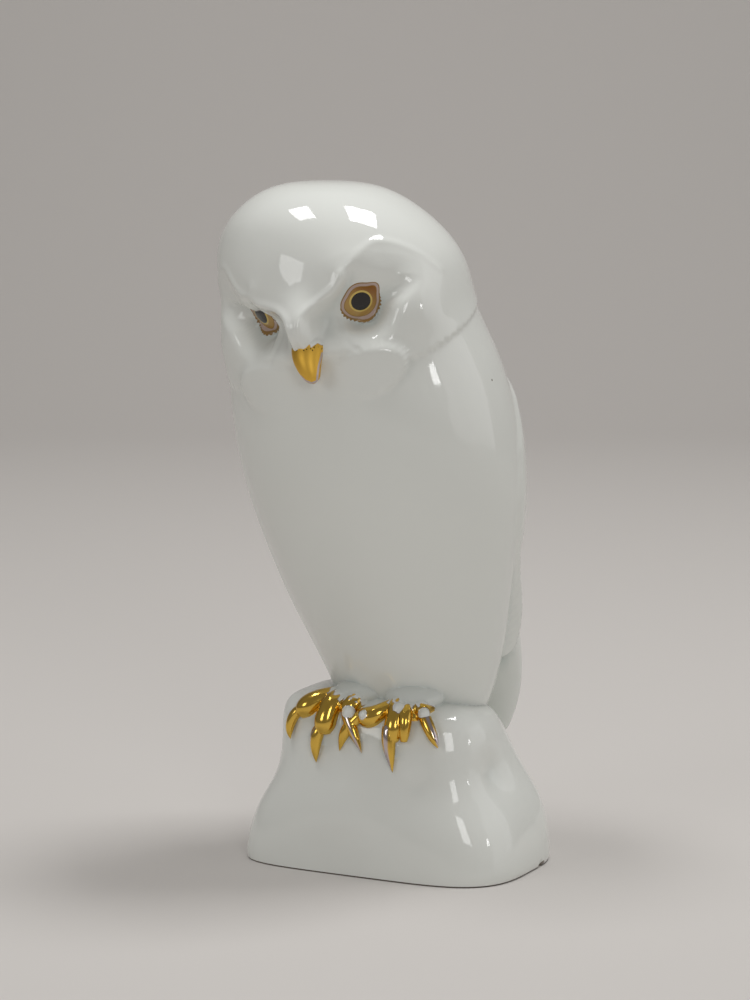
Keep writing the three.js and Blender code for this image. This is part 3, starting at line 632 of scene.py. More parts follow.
def face_relief(side, above, sizes):
    """Half a face and its mirror: the disc, sunk between the bells that wall it under the brow and over the
    lower edge, then bells for ridge, bridge, swelling, knob, rim, cheek and crease, and the bib's ellipse."""
    x, y = np.abs(side), above
    left = step(side / HALVES_BLEND)
    sag = bell(x - RIGHT_BROW_DROP_MIDDLE, RIGHT_BROW_DROP_HALF)
    brow, along = signed_distance(x, y + RIGHT_BROW_DROP * step(-side / HALVES_BLEND) * sag, BROW_CURVE)
    lower = left * DISC_LEFT_SLOPE * np.maximum(0, x - DISC_LEFT_FROM)
    edge, _ = signed_distance(x, y + lower, DISC_EDGE_CURVE)
    under, over = np.maximum(0, brow), np.maximum(0, -edge)
    fade = np.maximum(0, 1 - (x / DISC_REACH) ** 3)
    wall = BROW_WALL + BROW_WALL_WIDENING * ramp(x, *BROW_SOFT)
    fall = DISC_FALL + DISC_LEFT_FALL * left * ramp(x, *DISC_LEFT_SOFT)
    fall = fall + DISC_CHEEK_FALL * ramp(x, *DISC_CHEEK)
    relief = -sizes.disc_depth / MM * fade * (1 - bell(under, wall)) * (1 - bell(over, fall))
    relief += sizes.brow_height / MM * (1 - BROW_LOSS * along) * bell(brow, BROW_CREST)
    across = bell(x, BRIDGE_HALF[0] + BRIDGE_RIGHT_WIDER * (1 - left))
    relief += BRIDGE_HEIGHT * across * bell(y - BRIDGE_MIDDLE, BRIDGE_HALF[1])
    relief += BROW_SWELL * bell(x - BROW_SWELL_MIDDLE, BROW_SWELL_HALF) * np.where(
        brow > 0, bell(brow, BROW_WALL / 2), bell(brow, BROW_SWELL_REACH))
    relief += BROW_KNOB_HEIGHT * bell(np.hypot(x - BROW_KNOB[0], y - BROW_KNOB[1]), BROW_KNOB_REACH)
    rim = ramp(x, *DISC_EDGE_END) * (1 - left * ramp(x, *DISC_EDGE_LEFT_LOSS))
    relief += DISC_EDGE_HEIGHT * rim * bell(edge, DISC_EDGE_HALF)
    relief += CHEEK_HEIGHT * bell(np.hypot(x - CHEEK_MIDDLE[0], y - CHEEK_MIDDLE[1]), CHEEK_REACH)
    bib_x, bib_y = (x - BIB_MIDDLE[0]) / BIB_HALF[0], (y - BIB_MIDDLE[1]) / BIB_HALF[1]
    ruffles = BIB_RUFFLE_DEPTH * left * triangle_wave(BIB_RUFFLE_COUNT * np.arctan2(bib_y, bib_x) / TAU)
    span = np.hypot(bib_x, bib_y) + ruffles
    relief += BIB_HEIGHT * step((1 - span) * BIB_SHARPNESS) * np.clip((x - BIB_RISE[0]) / BIB_RISE[1], 0, 1)
    crease, _ = signed_distance(x, y, CREASE_CURVE)
    relief -= CREASE_DEPTH * bell(crease, CREASE_HALF)
    return relief


def ruff_relief(turned, above):
    """A smooth step down under the row of tufts the head ends in, dying away as a bell down the shoulders."""
    edge = (RUFF_FRONT + RUFF_BACK) / 2 + (RUFF_FRONT - RUFF_BACK) / 2 * np.cos(turned)
    side = HEAD_RADIUS * np.abs(turned)
    tufts = np.abs(np.sin(math.pi * side / RUFF_TUFT))
    tufts = tufts * bell(side, RUFF_TUFT_FADE) * ramp(side, *RUFF_TUFT_FROM)
    below = edge - RUFF_TUFT_DROP * tufts - above
    soft = RUFF_EDGE + RUFF_EDGE_SOFTER * ramp(side, *RUFF_SOFTER_WITHIN)
    return -RUFF_HEIGHT * step(below / soft) * bell(np.maximum(0, below), RUFF_REACH)


def wing_relief(z, angle, radius):
    """Both folded wings: raised inside their edges, coverts over grooved primaries, and proud at the tips."""
    front = np.interp(z, *zip(*WING_EDGE[::-1]))
    turned = np.abs(np.degrees(np.arctan2(np.sin(angle), np.cos(angle))))
    inside = np.radians(turned - front) * radius
    feather = np.maximum(0, inside / PRIMARY_WIDTH)
    scallop = PRIMARY_SCALLOP * (1 - (2 * (feather - np.floor(feather)) - 1) ** 2)
    open_share = np.clip((z + scallop - WING_TIP[0]) / (WING_PARTING[0] - WING_TIP[0]), 0, 1)
    open_share = open_share**WING_PARTING_POWER
    behind = np.radians(open_share * (180 - front) - (turned - front)) * radius
    behind = np.where(open_share >= 1, np.maximum(behind, WING_MEETING), behind)
    raised = step(inside / WING_EDGE_REACH) * step(behind / WING_EDGE_REACH)
    raised = raised * ramp(z, *WING_SHOULDER) * ramp(z, *WING_TIP)
    height = WING_HEIGHT + WING_TIP_HEIGHT * ramp(z, *WING_TIP_PROUD)
    covert = np.abs(np.sin(math.pi * inside / COVERT_WIDTH))
    covered = step((z - COVERT_END + COVERT_DROP * covert) / COVERT_BLEND)
    groove = bell((feather - np.round(feather)) * PRIMARY_WIDTH, PRIMARY_GROOVE_HALF)
    groove = groove * (np.round(feather) > 0) * (1 - covered)
    parting = bell(np.radians(180 - turned) * radius, WING_PARTING_HALF) * ramp(z, *WING_PARTING)
    return raised * (height + COVERT_HEIGHT * covered - PRIMARY_GROOVE * groove - WING_HEIGHT * parting)


def ring_points(rows, angle):
    """Points of level ellipses: the angle runs from the front round by the bird's left side."""
    z, x, y, width, depth = (rows[..., k] for k in range(5))
    return np.stack([x + width * np.sin(angle), y - depth * np.cos(angle), z + 0 * angle], -1)


def socket_reach(outward):
    """How far from the skull's middle each direction meets the sloping plane of the socket."""
    own = outward @ HEAD.T
    own[..., 0] = np.abs(own[..., 0])
    normal = GAZE[2] - SOCKET_SLOPE * GAZE[1]
    return (EYE_APEX @ normal - SOCKET_BACK) / np.maximum(own @ normal, SOCKET_LEAST_FACING)


def set_eyes(points, outward, share, sizes):
    """Moves the surface onto the eyeball inside the eye's outline, and onto the flat socket round it."""
    place = eye_place(points)
    out, up = place[..., 0], place[..., 1]
    edge = eye_distance(place, sizes.eye_radius / MM)
    lid = lid_distance(place)
    reach = np.linalg.norm(points - HEAD_MIDDLE, axis=-1)
    facing = share * ((outward @ HEAD[1]) > 0)
    inside = step(-np.maximum(edge, lid) / EYE_BLEND)
    ball = np.clip(eye_ball_radius(outward) - reach, -EYE_LIFT_MOST, EYE_LIFT_MOST)
    socket = socket_reach(outward) - reach
    outer = ramp(up, *SOCKET_OUTER_UP) * ramp(out, *SOCKET_OUTER_OUT)
    width = SOCKET_REACH + (SOCKET_OUTER_REACH - SOCKET_REACH) * step((out + up) / SOCKET_REACH_BLEND)
    width = np.where(socket > 0, width, SOCKET_REACH + SOCKET_OUTER_WIDER * outer)
    deepest = SOCKET_DEPTH - SOCKET_DEPTH_SPARED * outer
    socket = np.clip(socket, -deepest, EYE_LIFT_MOST) * bell(np.maximum(0, edge), width)
    socket = socket * step(-lid / LID_BLEND)
    rim_height, rim_place, rim_half = EYE_RIM
    lift = inside * ball + (1 - inside) * socket + rim_height * bell(edge - rim_place, rim_half)
    return points + (lift * facing)[..., None] * outward


def bird_surface(sizes):
    """Rings of the bird on a B-spline, crowded at the face, pushed out and in by the relief."""
    spline = np.array([mirrored(BIRD_RINGS[1]), *BIRD_RINGS, mirrored(BIRD_RINGS[-2])])
    u = np.linspace(0, 1, BIRD_GRID[0])
    u = u - FACE_CROWDING / TAU * (np.sin(TAU * (u - FACE_PART)) + math.sin(TAU * FACE_PART))
    turn = TAU * np.arange(BIRD_GRID[1]) / BIRD_GRID[1]
    angle = (turn - FRONT_CROWDING * np.sin(turn))[None, :]
    rows = spline_rows(spline, u * (len(spline) - 3))[:, None, :]
    points = ring_points(rows, angle)
    turned, side, above = head_place(points)
    share = ramp(points[..., 2], *HEAD_FOOT)
    relief = share * (face_relief(side, above, sizes) + ruff_relief(turned, above))
    wings = wing_relief(points[..., 2], angle, rows[..., 3])
    outward = points - HEAD_MIDDLE
    outward = outward / np.linalg.norm(outward, axis=-1, keepdims=True)
    level = np.stack([np.sin(angle), -np.cos(angle), 0 * angle], -1)
    points = points + relief[..., None] * outward + wings[..., None] * level
    points = set_eyes(points, outward, share, sizes)
    points[0] = spline_rows(spline, np.array(0.0))[:3][[1, 2, 0]]
    points[-1] = spline_rows(spline, np.array(float(len(spline) - 3)))[:3][[1, 2, 0]]
    return points


def tail_surface():
    """Level ellipses closed at both poles, grooved between feathers, each of which ends in a round tip."""
    spline = np.array([mirrored(TAIL_RINGS[1]), *TAIL_RINGS, mirrored(TAIL_RINGS[-2])])
    rows = spline_rows(spline, np.linspace(0, len(spline) - 3, TAIL_GRID[0]))[:, None, :]
    angle = (TAU * np.arange(TAIL_GRID[1]) / TAIL_GRID[1])[None, :]
    points = ring_points(rows, angle)
    half_width = rows[..., 3]
    feather = points[..., 0] / TAIL_FEATHER
    groove = TAIL_GROOVE * bell((feather - np.round(feather)) * TAIL_FEATHER, TAIL_GROOVE_HALF)
    points[..., 1] -= groove * np.maximum(0, -np.cos(angle)) * (half_width > TAIL_GROOVE_FROM)
    tip = 1 - 4 * (feather - np.floor(feather) - 0.5) ** 2
    low = ramp(points[..., 2], *TAIL_SCALLOP_BELOW)
    points[..., 2] -= TAIL_SCALLOP * tip * low * (half_width > TAIL_SCALLOP_FROM)
    return points


def rock_surface():
    """Level rings with rounded corners (superellipses), a flat underside, swellings and hollows over it."""
    spline = np.array([carried_on(ROCK_RINGS[0], ROCK_RINGS[1]), *ROCK_RINGS, mirrored(ROCK_RINGS[-2])])
    ring = np.arange(ROCK_GRID[0])
    t = np.maximum(0, ring - 1) / (ROCK_GRID[0] - 2) * (len(spline) - 3)
    rows = spline_rows(spline, t)[:, None, :]
    z, x, y, width, depth, square = (rows[..., k] for k in range(6))
    chip_turn, chip_height, chip_depth, chip_reach = CHIP
    chip_turn = math.radians(chip_turn)
    turn = TAU * np.arange(ROCK_GRID[1]) / ROCK_GRID[1] + chip_turn
    angle = (turn - ROCK_CROWDING * np.sin(turn - chip_turn))[None, :]
    side, back = np.sin(angle), -np.cos(angle)
    power = square * (1 - ROCK_CORNER_SWING * side)
    open_ring = np.minimum(1, ring)[:, None]
    reach = (np.abs(side) ** power + np.abs(back) ** power) ** (-1 / power) * open_ring
    points = np.stack([x + width * side * reach, y + depth * back * reach, z + 0 * side], -1)
    outward = points - np.stack([x, y, np.minimum(z, ROCK_LOBE_LEVEL)], -1)
    outward /= np.maximum(np.linalg.norm(outward, axis=-1, keepdims=True), 1)
    for place, height, lobe_reach in ROCK_LOBES:
        swell = height * bell(np.linalg.norm(points - np.array(place), axis=-1), lobe_reach)
        points = points + (swell * open_ring)[..., None] * outward
    round_it = 2 * np.sin((angle - chip_turn) / 2) * points[..., 0].max()
    dent = chip_depth * bell(np.hypot(round_it, points[..., 2] - chip_height), chip_reach)
    return points - (dent * open_ring)[..., None] * outward * np.array([1, 1, 0])


def path_surface(stations, grid):
    """Ellipses across a B-spline path, closed to a point at both ends."""
    stations = [p if len(p) == 5 else (*p, p[3]) for p in stations]
    rows = [carried_on(stations[0], stations[1]), *stations, carried_on(stations[-1], stations[-2])]
    t = np.linspace(0, len(rows) - 3, grid[0])
    row = spline_rows(rows, t)
    middle = row[:, :3]
    along = np.gradient(middle, axis=0)
    along /= np.linalg.norm(along, axis=-1, keepdims=True)
    side = np.cross(along, PATH_REFERENCE)
    side /= np.linalg.norm(side, axis=-1, keepdims=True)
    over = np.cross(side, along)
    angle = (TAU * np.arange(grid[1]) / grid[1])[None, :, None]
    open_end = np.ones((grid[0], 1, 1))
    open_end[[0, -1]] = 0
    wide, thick = row[:, 3][:, None, None], row[:, 4][:, None, None]
    ring = wide * np.cos(angle) * side[:, None] + thick * np.sin(angle) * over[:, None]
    return middle[:, None] + open_end * ring


def mound_surface(middle, half, grid):
    """An ellipsoid from its lowest point to its highest."""
    down = np.linspace(-math.pi / 2, math.pi / 2, grid[0])[:, None]
    angle = (TAU * np.arange(grid[1]) / grid[1])[None, :]
    level, height = np.cos(down), np.sin(down)
    unit = np.stack([level * np.sin(angle), -level * np.cos(angle), height + 0 * angle], -1)
    unit[[0, -1], :, :2] = 0
    return np.array(middle) + unit * np.array(half)


def signed_volume(points, faces):
    """Sum of the volumes under each triangle, seen from the origin."""
    a, b, c = (points[faces[:, k]] for k in range(3))
    return np.einsum("ij,ij->i", a, np.cross(b, c)).sum() / 6


def grid_object(name, points, materials, slot):
    """A closed mesh from a grid of rings whose first and last rows are single points."""
    rings, round_count = points.shape[:2]
    places = np.vstack([points[:1, 0], points[1:-1].reshape(-1, 3), points[-1:, 0]])
    here = np.arange(round_count)
    after = np.roll(here, -1)
    start = 1 + round_count * np.arange(rings - 3)[:, None]
    low_here, low_after = (start + here).ravel(), (start + after).ravel()
    quads = np.stack([low_here, low_after, low_after + round_count, low_here + round_count], -1)
    last = 1 + round_count * (rings - 3)
    foot = np.stack([np.zeros_like(here), 1 + after, 1 + here], -1)
    top = np.stack([np.full_like(here, len(places) - 1), last + here, last + after], -1)
    caps = np.vstack([foot, top])
    thirds = np.vstack([quads[:, [0, 1, 2]], quads[:, [0, 2, 3]], caps])
    if signed_volume(places, thirds) < 0:
        quads, caps = quads[:, ::-1], caps[:, ::-1]
    mesh = bpy.data.meshes.new(name)
    mesh.from_pydata((places * MM).tolist(), [], quads.tolist() + caps.tolist())
    for material in materials:
        mesh.materials.append(material)
    mesh.polygons.foreach_set("material_index", np.full(len(mesh.polygons), slot, np.int32))
    mesh.update()
    piece = bpy.data.objects.new(name, mesh)
    bpy.context.scene.collection.objects.link(piece)
    return piece


def fused(first, others):
    """One closed mesh: the union of the first object and all the others, which are then deleted."""
    group = bpy.data.collections.new("owl_parts")
    bpy.context.scene.collection.children.link(group)
    for other in others:
        bpy.context.scene.collection.objects.unlink(other)
        group.objects.link(other)
    modifier = first.modifiers.new("union", "BOOLEAN")
    modifier.operation = "UNION"
    modifier.operand_type = "COLLECTION"
    modifier.collection = group
    modifier.solver = "MANIFOLD"
    graph = bpy.context.evaluated_depsgraph_get()
    mesh = bpy.data.meshes.new_from_object(first.evaluated_get(graph))
    first.modifiers.remove(modifier)
    first.data = mesh
    for other in others:
        bpy.data.objects.remove(other)
    bpy.data.collections.remove(group)
    return first


def read_all(items, field, width, kind):
    """One field of all the items of a mesh, as rows of the given width."""
    values = np.empty(len(items) * width, kind)
    items.foreach_get(field, values)
    return values.reshape(-1, width)


def set_attribute(mesh, name, kind, values):
    """Stores a number or a vector for every vertex."""
    attribute = mesh.attributes.new(name, kind, "POINT")
    field = "vector" if kind == "FLOAT_VECTOR" else "value"
    attribute.data.foreach_set(field, np.ravel(values).astype(np.float32))


def neighbour_mean(values, a, b):
    """The mean of the values at the other ends of each vertex's edges, which run from a to b."""
    ends = np.r_[a, b]
    sums = [np.bincount(ends, np.r_[v[b], v[a]], len(values)) for v in values.T]
    return np.stack(sums, -1) / np.bincount(ends, minlength=len(values))[:, None]


def pooling_and_shade(mesh, points):
    """How hollow the surface is: how far its smoothed self stands out along the normal, itself smoothed."""
    a, b = read_all(mesh.edges, "vertices", 2, np.int32).T
    normals = read_all(mesh.vertex_normals, "vector", 3, float)
    spread = points
    for _ in range(SURFACE_ROUNDS):
        spread = neighbour_mean(spread, a, b)
    hollow = np.einsum("ij,ij->i", spread - points, normals)[:, None]
    for _ in range(HOLLOW_ROUNDS):
        hollow = neighbour_mean(hollow, a, b)
    return np.clip(hollow[:, 0] - POOLING_AND_SHADE_FROM, 0, POOLING_AND_SHADE_MOST)


def paint_glaze_and_shade(mesh, points):
    """Stores how much greener and darker the glaze is painted: in hollows, for glaze that pools there and for
    painted shade, and at least a share of painted shade inside each foot's ellipsoid.
    """
    # Hollows are painted greener and darker, for glaze that pools there and for painted shade.
    hollow = pooling_and_shade(mesh, points)
    # Painted shade: each feathered foot, under the belly, is at least this much darker, though it is no
    # hollow.
    for middle, half in LEGS:
        feathers = np.linalg.norm((points - np.array(middle)) / np.array(half), axis=-1)
        hollow = np.maximum(hollow, FEET_PAINTED_SHADE * ramp(feathers, *FEET_PAINTED_SHADE_EDGE))
    set_attribute(mesh, "pooling_and_shade", "FLOAT", hollow)


def paint_eyes(mesh, points, sizes):
    """Stores each vertex's place in its eye and above the lid, and gives faces near an outline the enamel."""
    place = eye_place(points)
    edge = eye_distance(place, sizes.eye_radius / MM)
    painted = np.concatenate([place[:, :2] - PUPIL_MIDDLE, edge[:, None]], -1)
    set_attribute(mesh, "eye_place", "FLOAT_VECTOR", painted)
    set_attribute(mesh, "lid", "FLOAT", lid_distance(place))
    on_face = (points[:, 2] > HEAD_FOOT[0]) & (points @ HEAD[1] > HEAD_MIDDLE @ HEAD[1])
    near_eye = (edge < ENAMEL_REACH) & on_face
    slots = read_all(mesh.polygons, "material_index", 1, np.int32)[:, 0]
    starts = read_all(mesh.polygons, "loop_start", 1, np.int32)[:, 0]
    corners = read_all(mesh.loops, "vertex_index", 1, np.int32)[:, 0]
    slots[near_eye[corners[starts]] & (slots == PORCELAIN)] = EYE_ENAMEL
    mesh.polygons.foreach_set("material_index", slots)


def paint_gilding(mesh, points):
    """Stores the gilding's mask: the greatest of steps at the bill's root, hems and knuckles, and of the
    painted reflections on the bill's rim and the claws.
    """
    bill_top = BILL_GILT_TOP - BILL_GILT_TOOTH * triangle_wave(points[:, 0] / BILL_GILT_PITCH)
    bare_and_reflection = step((points[:, 2] - bill_top) / GILT_EDGE)
    for middle, half in LEGS:
        away = (points - np.array(middle)) / np.array(half)
        around = np.arctan2(away[:, 0], -away[:, 1])
        hem = SOCK_HEM + SOCK_TOOTH * triangle_wave(around * SOCK_TEETH / TAU)
        bare_and_reflection = np.maximum(bare_and_reflection, step((hem - np.linalg.norm(away, axis=-1)) / SOCK_EDGE))
    for spot, radius in KNUCKLES:
        away = np.linalg.norm(points - np.array(spot), axis=-1)
        bare_and_reflection = np.maximum(bare_and_reflection, step((radius + KNUCKLE_BARE_PAST - away) / GILT_EDGE))
    # Painted reflections: lilac lines along the claws and the bill's rim, laid out as seen from this angle.
    c, s = math.cos(math.radians(REFLECTION_TURN)), math.sin(math.radians(REFLECTION_TURN))
    lines = [(BILL_RIM_REFLECTION, BILL_RIM_REFLECTION_HALF)]
    for claw, shift, half in CLAW_REFLECTIONS:
        lines += [([(x * c + y * s + shift, z) for x, y, z, _ in CLAWS[claw]], half)]
    for line, half in lines:
        away, _ = signed_distance(points[:, 0] * c + points[:, 1] * s, points[:, 2], line)
        bare_and_reflection = np.maximum(bare_and_reflection, PAINTED_REFLECTION * step((half - np.abs(away)) / REFLECTION_EDGE))
    set_attribute(mesh, "bare_and_reflection", "FLOAT", bare_and_reflection)


def linear(colour_hex):
    """An sRGB hex colour as linear red, green, blue and alpha."""
    channels = [int(colour_hex[k:k + 2], 16) / 255 for k in (1, 3, 5)]
    return (*[c / 12.92 if c <= 0.04045 else ((c + 0.055) / 1.055) ** 2.4 for c in channels], 1)


# Inputs that share a name go by number: in a Mix 0 is the factor, 2 and 3 the numbers and 6 and 7 the
# colours, and a Map Range takes values from 1 to 2 onto 3 to 4.
def add_node(tree, kind, inputs, **properties):
    """Adds one node, sets its properties, and links or sets each of the inputs given."""
    node = tree.nodes.new("ShaderNode" + kind)
    for name, value in properties.items():
        setattr(node, name, value)
    for name, value in inputs.items():
        if isinstance(value, bpy.types.NodeSocket):
            tree.links.new(value, node.inputs[name])
        else:
            node.inputs[name].default_value = value
    return node


def new_material(name):
    """An empty material and its node tree."""
    material = bpy.data.materials.new(name)
    material.use_nodes = True
    material.node_tree.nodes.clear()
    return material, material.node_tree


def glaze_colour(tree, colours):
    """White body under glaze: greener and darker in hollows, for glaze that pools there and for painted
    shade, dark specks, a painted shadow in the chip, and a dark brownish line along the bottom.
    """
    place = add_node(tree, "TexCoord", {}).outputs["Object"]
    # Mixed towards the greener, darker glaze of the hollows: glaze that pools there, and painted shade.
    pooled_and_shaded = add_node(tree, "Attribute", {}, attribute_name="pooling_and_shade").outputs["Fac"]
    paints = {0: pooled_and_shaded, 6: colours.glaze, 7: colours.pooled_glaze_and_shade}
    colour = add_node(tree, "Mix", paints, data_type="RGBA").outputs[2]
    # Dark specks, and at the chip a painted shadow.
    for spot, radius in SPECKS_AND_CHIP_SHADOW:
        middle = [c * MM for c in spot]
        away = add_node(tree, "VectorMath", {0: place, 1: middle}, operation="DISTANCE").outputs["Value"]
        near = add_node(tree, "Math", {0: away, 1: radius * MM}, operation="LESS_THAN").outputs[0]
        paints = {0: near, 6: colour, 7: linear(SPECK_AND_CHIP_SHADOW_COLOUR)}
        colour = add_node(tree, "Mix", paints, data_type="RGBA").outputs[2]
    # Below this height the bottom turns dark brownish.
    height = add_node(tree, "SeparateXYZ", {0: place}).outputs["Z"]
    foot = add_node(tree, "Math", {0: height, 1: FOOT_LINE * MM}, operation="LESS_THAN").outputs[0]
    paints = {0: foot, 6: colour, 7: linear(FOOT_COLOUR)}
    return add_node(tree, "Mix", paints, data_type="RGBA").outputs[2], place


def porcelain_material(colours):
    """Slip-cast porcelain under a clear glossy glaze: white, very smooth, faintly uneven as fired."""
    material, tree = new_material("glazed_porcelain")
    colour, place = glaze_colour(tree, colours)
    pattern = {"Vector": place, "Scale": 1 / (WAVER_WIDTH * MM), "Detail": 1}
    noise = add_node(tree, "TexNoise", pattern).outputs["Fac"]
    waver = {"Height": noise, "Strength": WAVER_STRENGTH, "Distance": WAVER_HEIGHT * MM}
    normal = add_node(tree, "Bump", waver).outputs["Normal"]
    glaze = {"Base Color": colour, "Normal": normal, "Roughness": GLAZE_ROUGHNESS, "IOR": GLAZE_IOR}
    shader = add_node(tree, "BsdfPrincipled", glaze)
    add_node(tree, "OutputMaterial", {"Surface": shader.outputs["BSDF"]})
    return material


def gilt_material(name, gold, roughness, colours):
    """Gold fired over the glaze: bright and faintly grained, thin in dots at the bill's root, silvery lilac
    at its thin edges and in painted reflections, and gone where the mask says. The IOR is the glaze's, which
    shows where the gold is gone, and gold doesn't use it."""
    material, tree = new_material(name)
    bare_and_reflection = add_node(tree, "Attribute", {}, attribute_name="bare_and_reflection").outputs["Fac"]
    # Silvery lilac: the thin gold's edges, and painted reflections along the claws and the bill.
    lilac_and_reflection = add_node(tree, "MapRange", {0: bare_and_reflection, 1: GILT_MASK[0], 2: GILT_MASK[1]}).outputs[0]
    worn = add_node(tree, "Math", {0: bare_and_reflection, 1: GILT_MASK[2]}, operation="GREATER_THAN").outputs[0]
    gilded = add_node(tree, "Math", {0: 1.0, 1: worn}, operation="SUBTRACT").outputs[0]
    glaze, place = glaze_colour(tree, colours)
    height = add_node(tree, "SeparateXYZ", {0: place}).outputs["Z"]
    low, high = (z * MM for z in BILL_DOTS)
    at_root = add_node(tree, "MapRange", {0: height, 1: low, 2: high}).outputs[0]
    pattern = {"Vector": place, "Scale": 1 / (DOT_SPACING * MM), "Detail": 0}
    noise = add_node(tree, "TexNoise", pattern).outputs["Fac"]
    thin = add_node(tree, "Math", {0: noise, 1: at_root}, operation="MULTIPLY").outputs[0]
    dots = add_node(tree, "Math", {0: thin, 1: DOT_THRESHOLD}, operation="GREATER_THAN").outputs[0]
    colour = gold
    for mask, paint in ((dots, linear(DOT_COLOUR)), (lilac_and_reflection, linear(LILAC_AND_REFLECTION_COLOUR)), (worn, glaze)):
        colour = add_node(tree, "Mix", {0: mask, 6: colour, 7: paint}, data_type="RGBA").outputs[2]
    pattern = {"Vector": place, "Scale": 1 / (GRAIN_WIDTH * MM), "Detail": 2}
    noise = add_node(tree, "TexNoise", pattern).outputs["Fac"]
    grain = {0: noise, 3: roughness - GRAIN_SWING, 4: roughness + GRAIN_SWING}
    rough = add_node(tree, "MapRange", grain).outputs[0]
    rough = add_node(tree, "Mix", {0: worn, 2: rough, 3: GLAZE_ROUGHNESS}, data_type="FLOAT").outputs[0]
    gilding = {"Base Color": colour, "Metallic": gilded, "Roughness": rough, "IOR": GLAZE_IOR}
    shader = add_node(tree, "BsdfPrincipled", gilding)
    add_node(tree, "OutputMaterial", {"Surface": shader.outputs["BSDF"]})
    return material


def eye_material(colours):
    """Overglaze enamel, painted in rings and fired to a gloss: pupil, gold line, ochre iris, lilac rim."""
    material, tree = new_material("painted_eye_enamel")
    glaze, _ = glaze_colour(tree, colours)
    painted = add_node(tree, "Attribute", {}, attribute_name="eye_place").outputs["Vector"]
    out, up, edge = add_node(tree, "SeparateXYZ", {0: painted}).outputs
    flat = add_node(tree, "CombineXYZ", {0: out, 1: up}).outputs[0]
    ring = add_node(tree, "VectorMath", {0: flat}, operation="LENGTH").outputs["Value"]
    outer = add_node(tree, "Math", {0: out, 1: up}, operation="ADD").outputs[0]
    high = add_node(tree, "MapRange", {0: outer, 1: IRIS_SHADE[0], 2: IRIS_SHADE[1]}).outputs[0]
    paints = {0: high, 6: colours.iris, 7: colours.iris_shade}
    colour = add_node(tree, "Mix", paints, data_type="RGBA").outputs[2]
    rings = [(ring, radius, "LESS_THAN", linear(paint)) for radius, paint in EYE_RINGS]
    bands = [(edge, outside, "GREATER_THAN", linear(paint)) for outside, paint in EYE_BANDS]
    for distance, limit, test, paint in rings + bands:
        mask = add_node(tree, "Math", {0: distance, 1: limit}, operation=test).outputs[0]
        colour = add_node(tree, "Mix", {0: mask, 6: colour, 7: paint}, data_type="RGBA").outputs[2]
    angle = add_node(tree, "Math", {0: up, 1: out}, operation="ARCTAN2").outputs[0]
    turned = add_node(tree, "Math", {0: angle, 1: FRINGE_HALF_STROKES}, operation="MULTIPLY").outputs[0]
    tooth = add_node(tree, "Math", {0: turned, 1: 1.0}, operation="PINGPONG").outputs[0]
    length = add_node(tree, "MapRange", {0: tooth, 3: FRINGE[0], 4: FRINGE[1]}).outputs[0]
    low = add_node(tree, "MapRange", {0: up, 1: 0, 2: FRINGE_FULL}).outputs[0]
    reach = add_node(tree, "Math", {0: length, 1: low}, operation="MULTIPLY").outputs[0]
    lid = add_node(tree, "Attribute", {}, attribute_name="lid").outputs["Fac"]
    ends = [(edge, reach, glaze), (lid, LID_LINE[0], linear(LID_LINE[1])), (lid, 0, glaze)]
    for distance, limit, paint in ends:
        mask = add_node(tree, "Math", {0: distance, 1: limit}, operation="GREATER_THAN").outputs[0]
        colour = add_node(tree, "Mix", {0: mask, 6: colour, 7: paint}, data_type="RGBA").outputs[2]
    enamel = {"Base Color": colour, "Roughness": GLAZE_ROUGHNESS, "IOR": GLAZE_IOR}
    shader = add_node(tree, "BsdfPrincipled", enamel)
    add_node(tree, "OutputMaterial", {"Surface": shader.outputs["BSDF"]})
    return material


class OwlSizes(bpy.types.PropertyGroup):
    """Sizes of the modelled face that a user would change."""
    brow_height: FloatProperty(
        name="Brow height", description="Height of the brow ridge by the bill", default=0.0016, unit="LENGTH")
    disc_depth: FloatProperty(
        name="Disc depth", description="Depth of the dished face disc", default=0.010, unit="LENGTH")
    eye_radius: FloatProperty(
        name="Eye radius", description="Radius of the painted eye", default=0.010, unit="LENGTH")


class OwlColours(bpy.types.PropertyGroup):
    """Colours of the glaze, the gilding and the eye paint."""
    glaze: FloatVectorProperty(
        name="Glaze", description="White body under clear glaze",
        default=linear("#E4E6E1"), size=4, subtype="COLOR")
    # The glaze in hollows: the tint of glaze that pools there, darkened further as painted shade.
    pooled_glaze_and_shade: FloatVectorProperty(
        name="Pooled glaze", description="Glaze where it is thick",
        default=linear("#BCC6C2"), size=4, subtype="COLOR")
    toe_gold: FloatVectorProperty(
        name="Toe gold", description="Bright gilding of the toes",
        default=linear("#E1B955"), size=4, subtype="COLOR")
    bill_gold: FloatVectorProperty(
        name="Bill gold", description="Duller gilding of the bill",
        default=linear("#E6B950"), size=4, subtype="COLOR")
    iris: FloatVectorProperty(
        name="Iris", description="Ochre iris towards the bill",
        default=linear("#AE8A48"), size=4, subtype="COLOR")
    iris_shade: FloatVectorProperty(
        name="Iris shade", description="Iris towards the outer corner",
        default=linear("#8A5A1E"), size=4, subtype="COLOR")


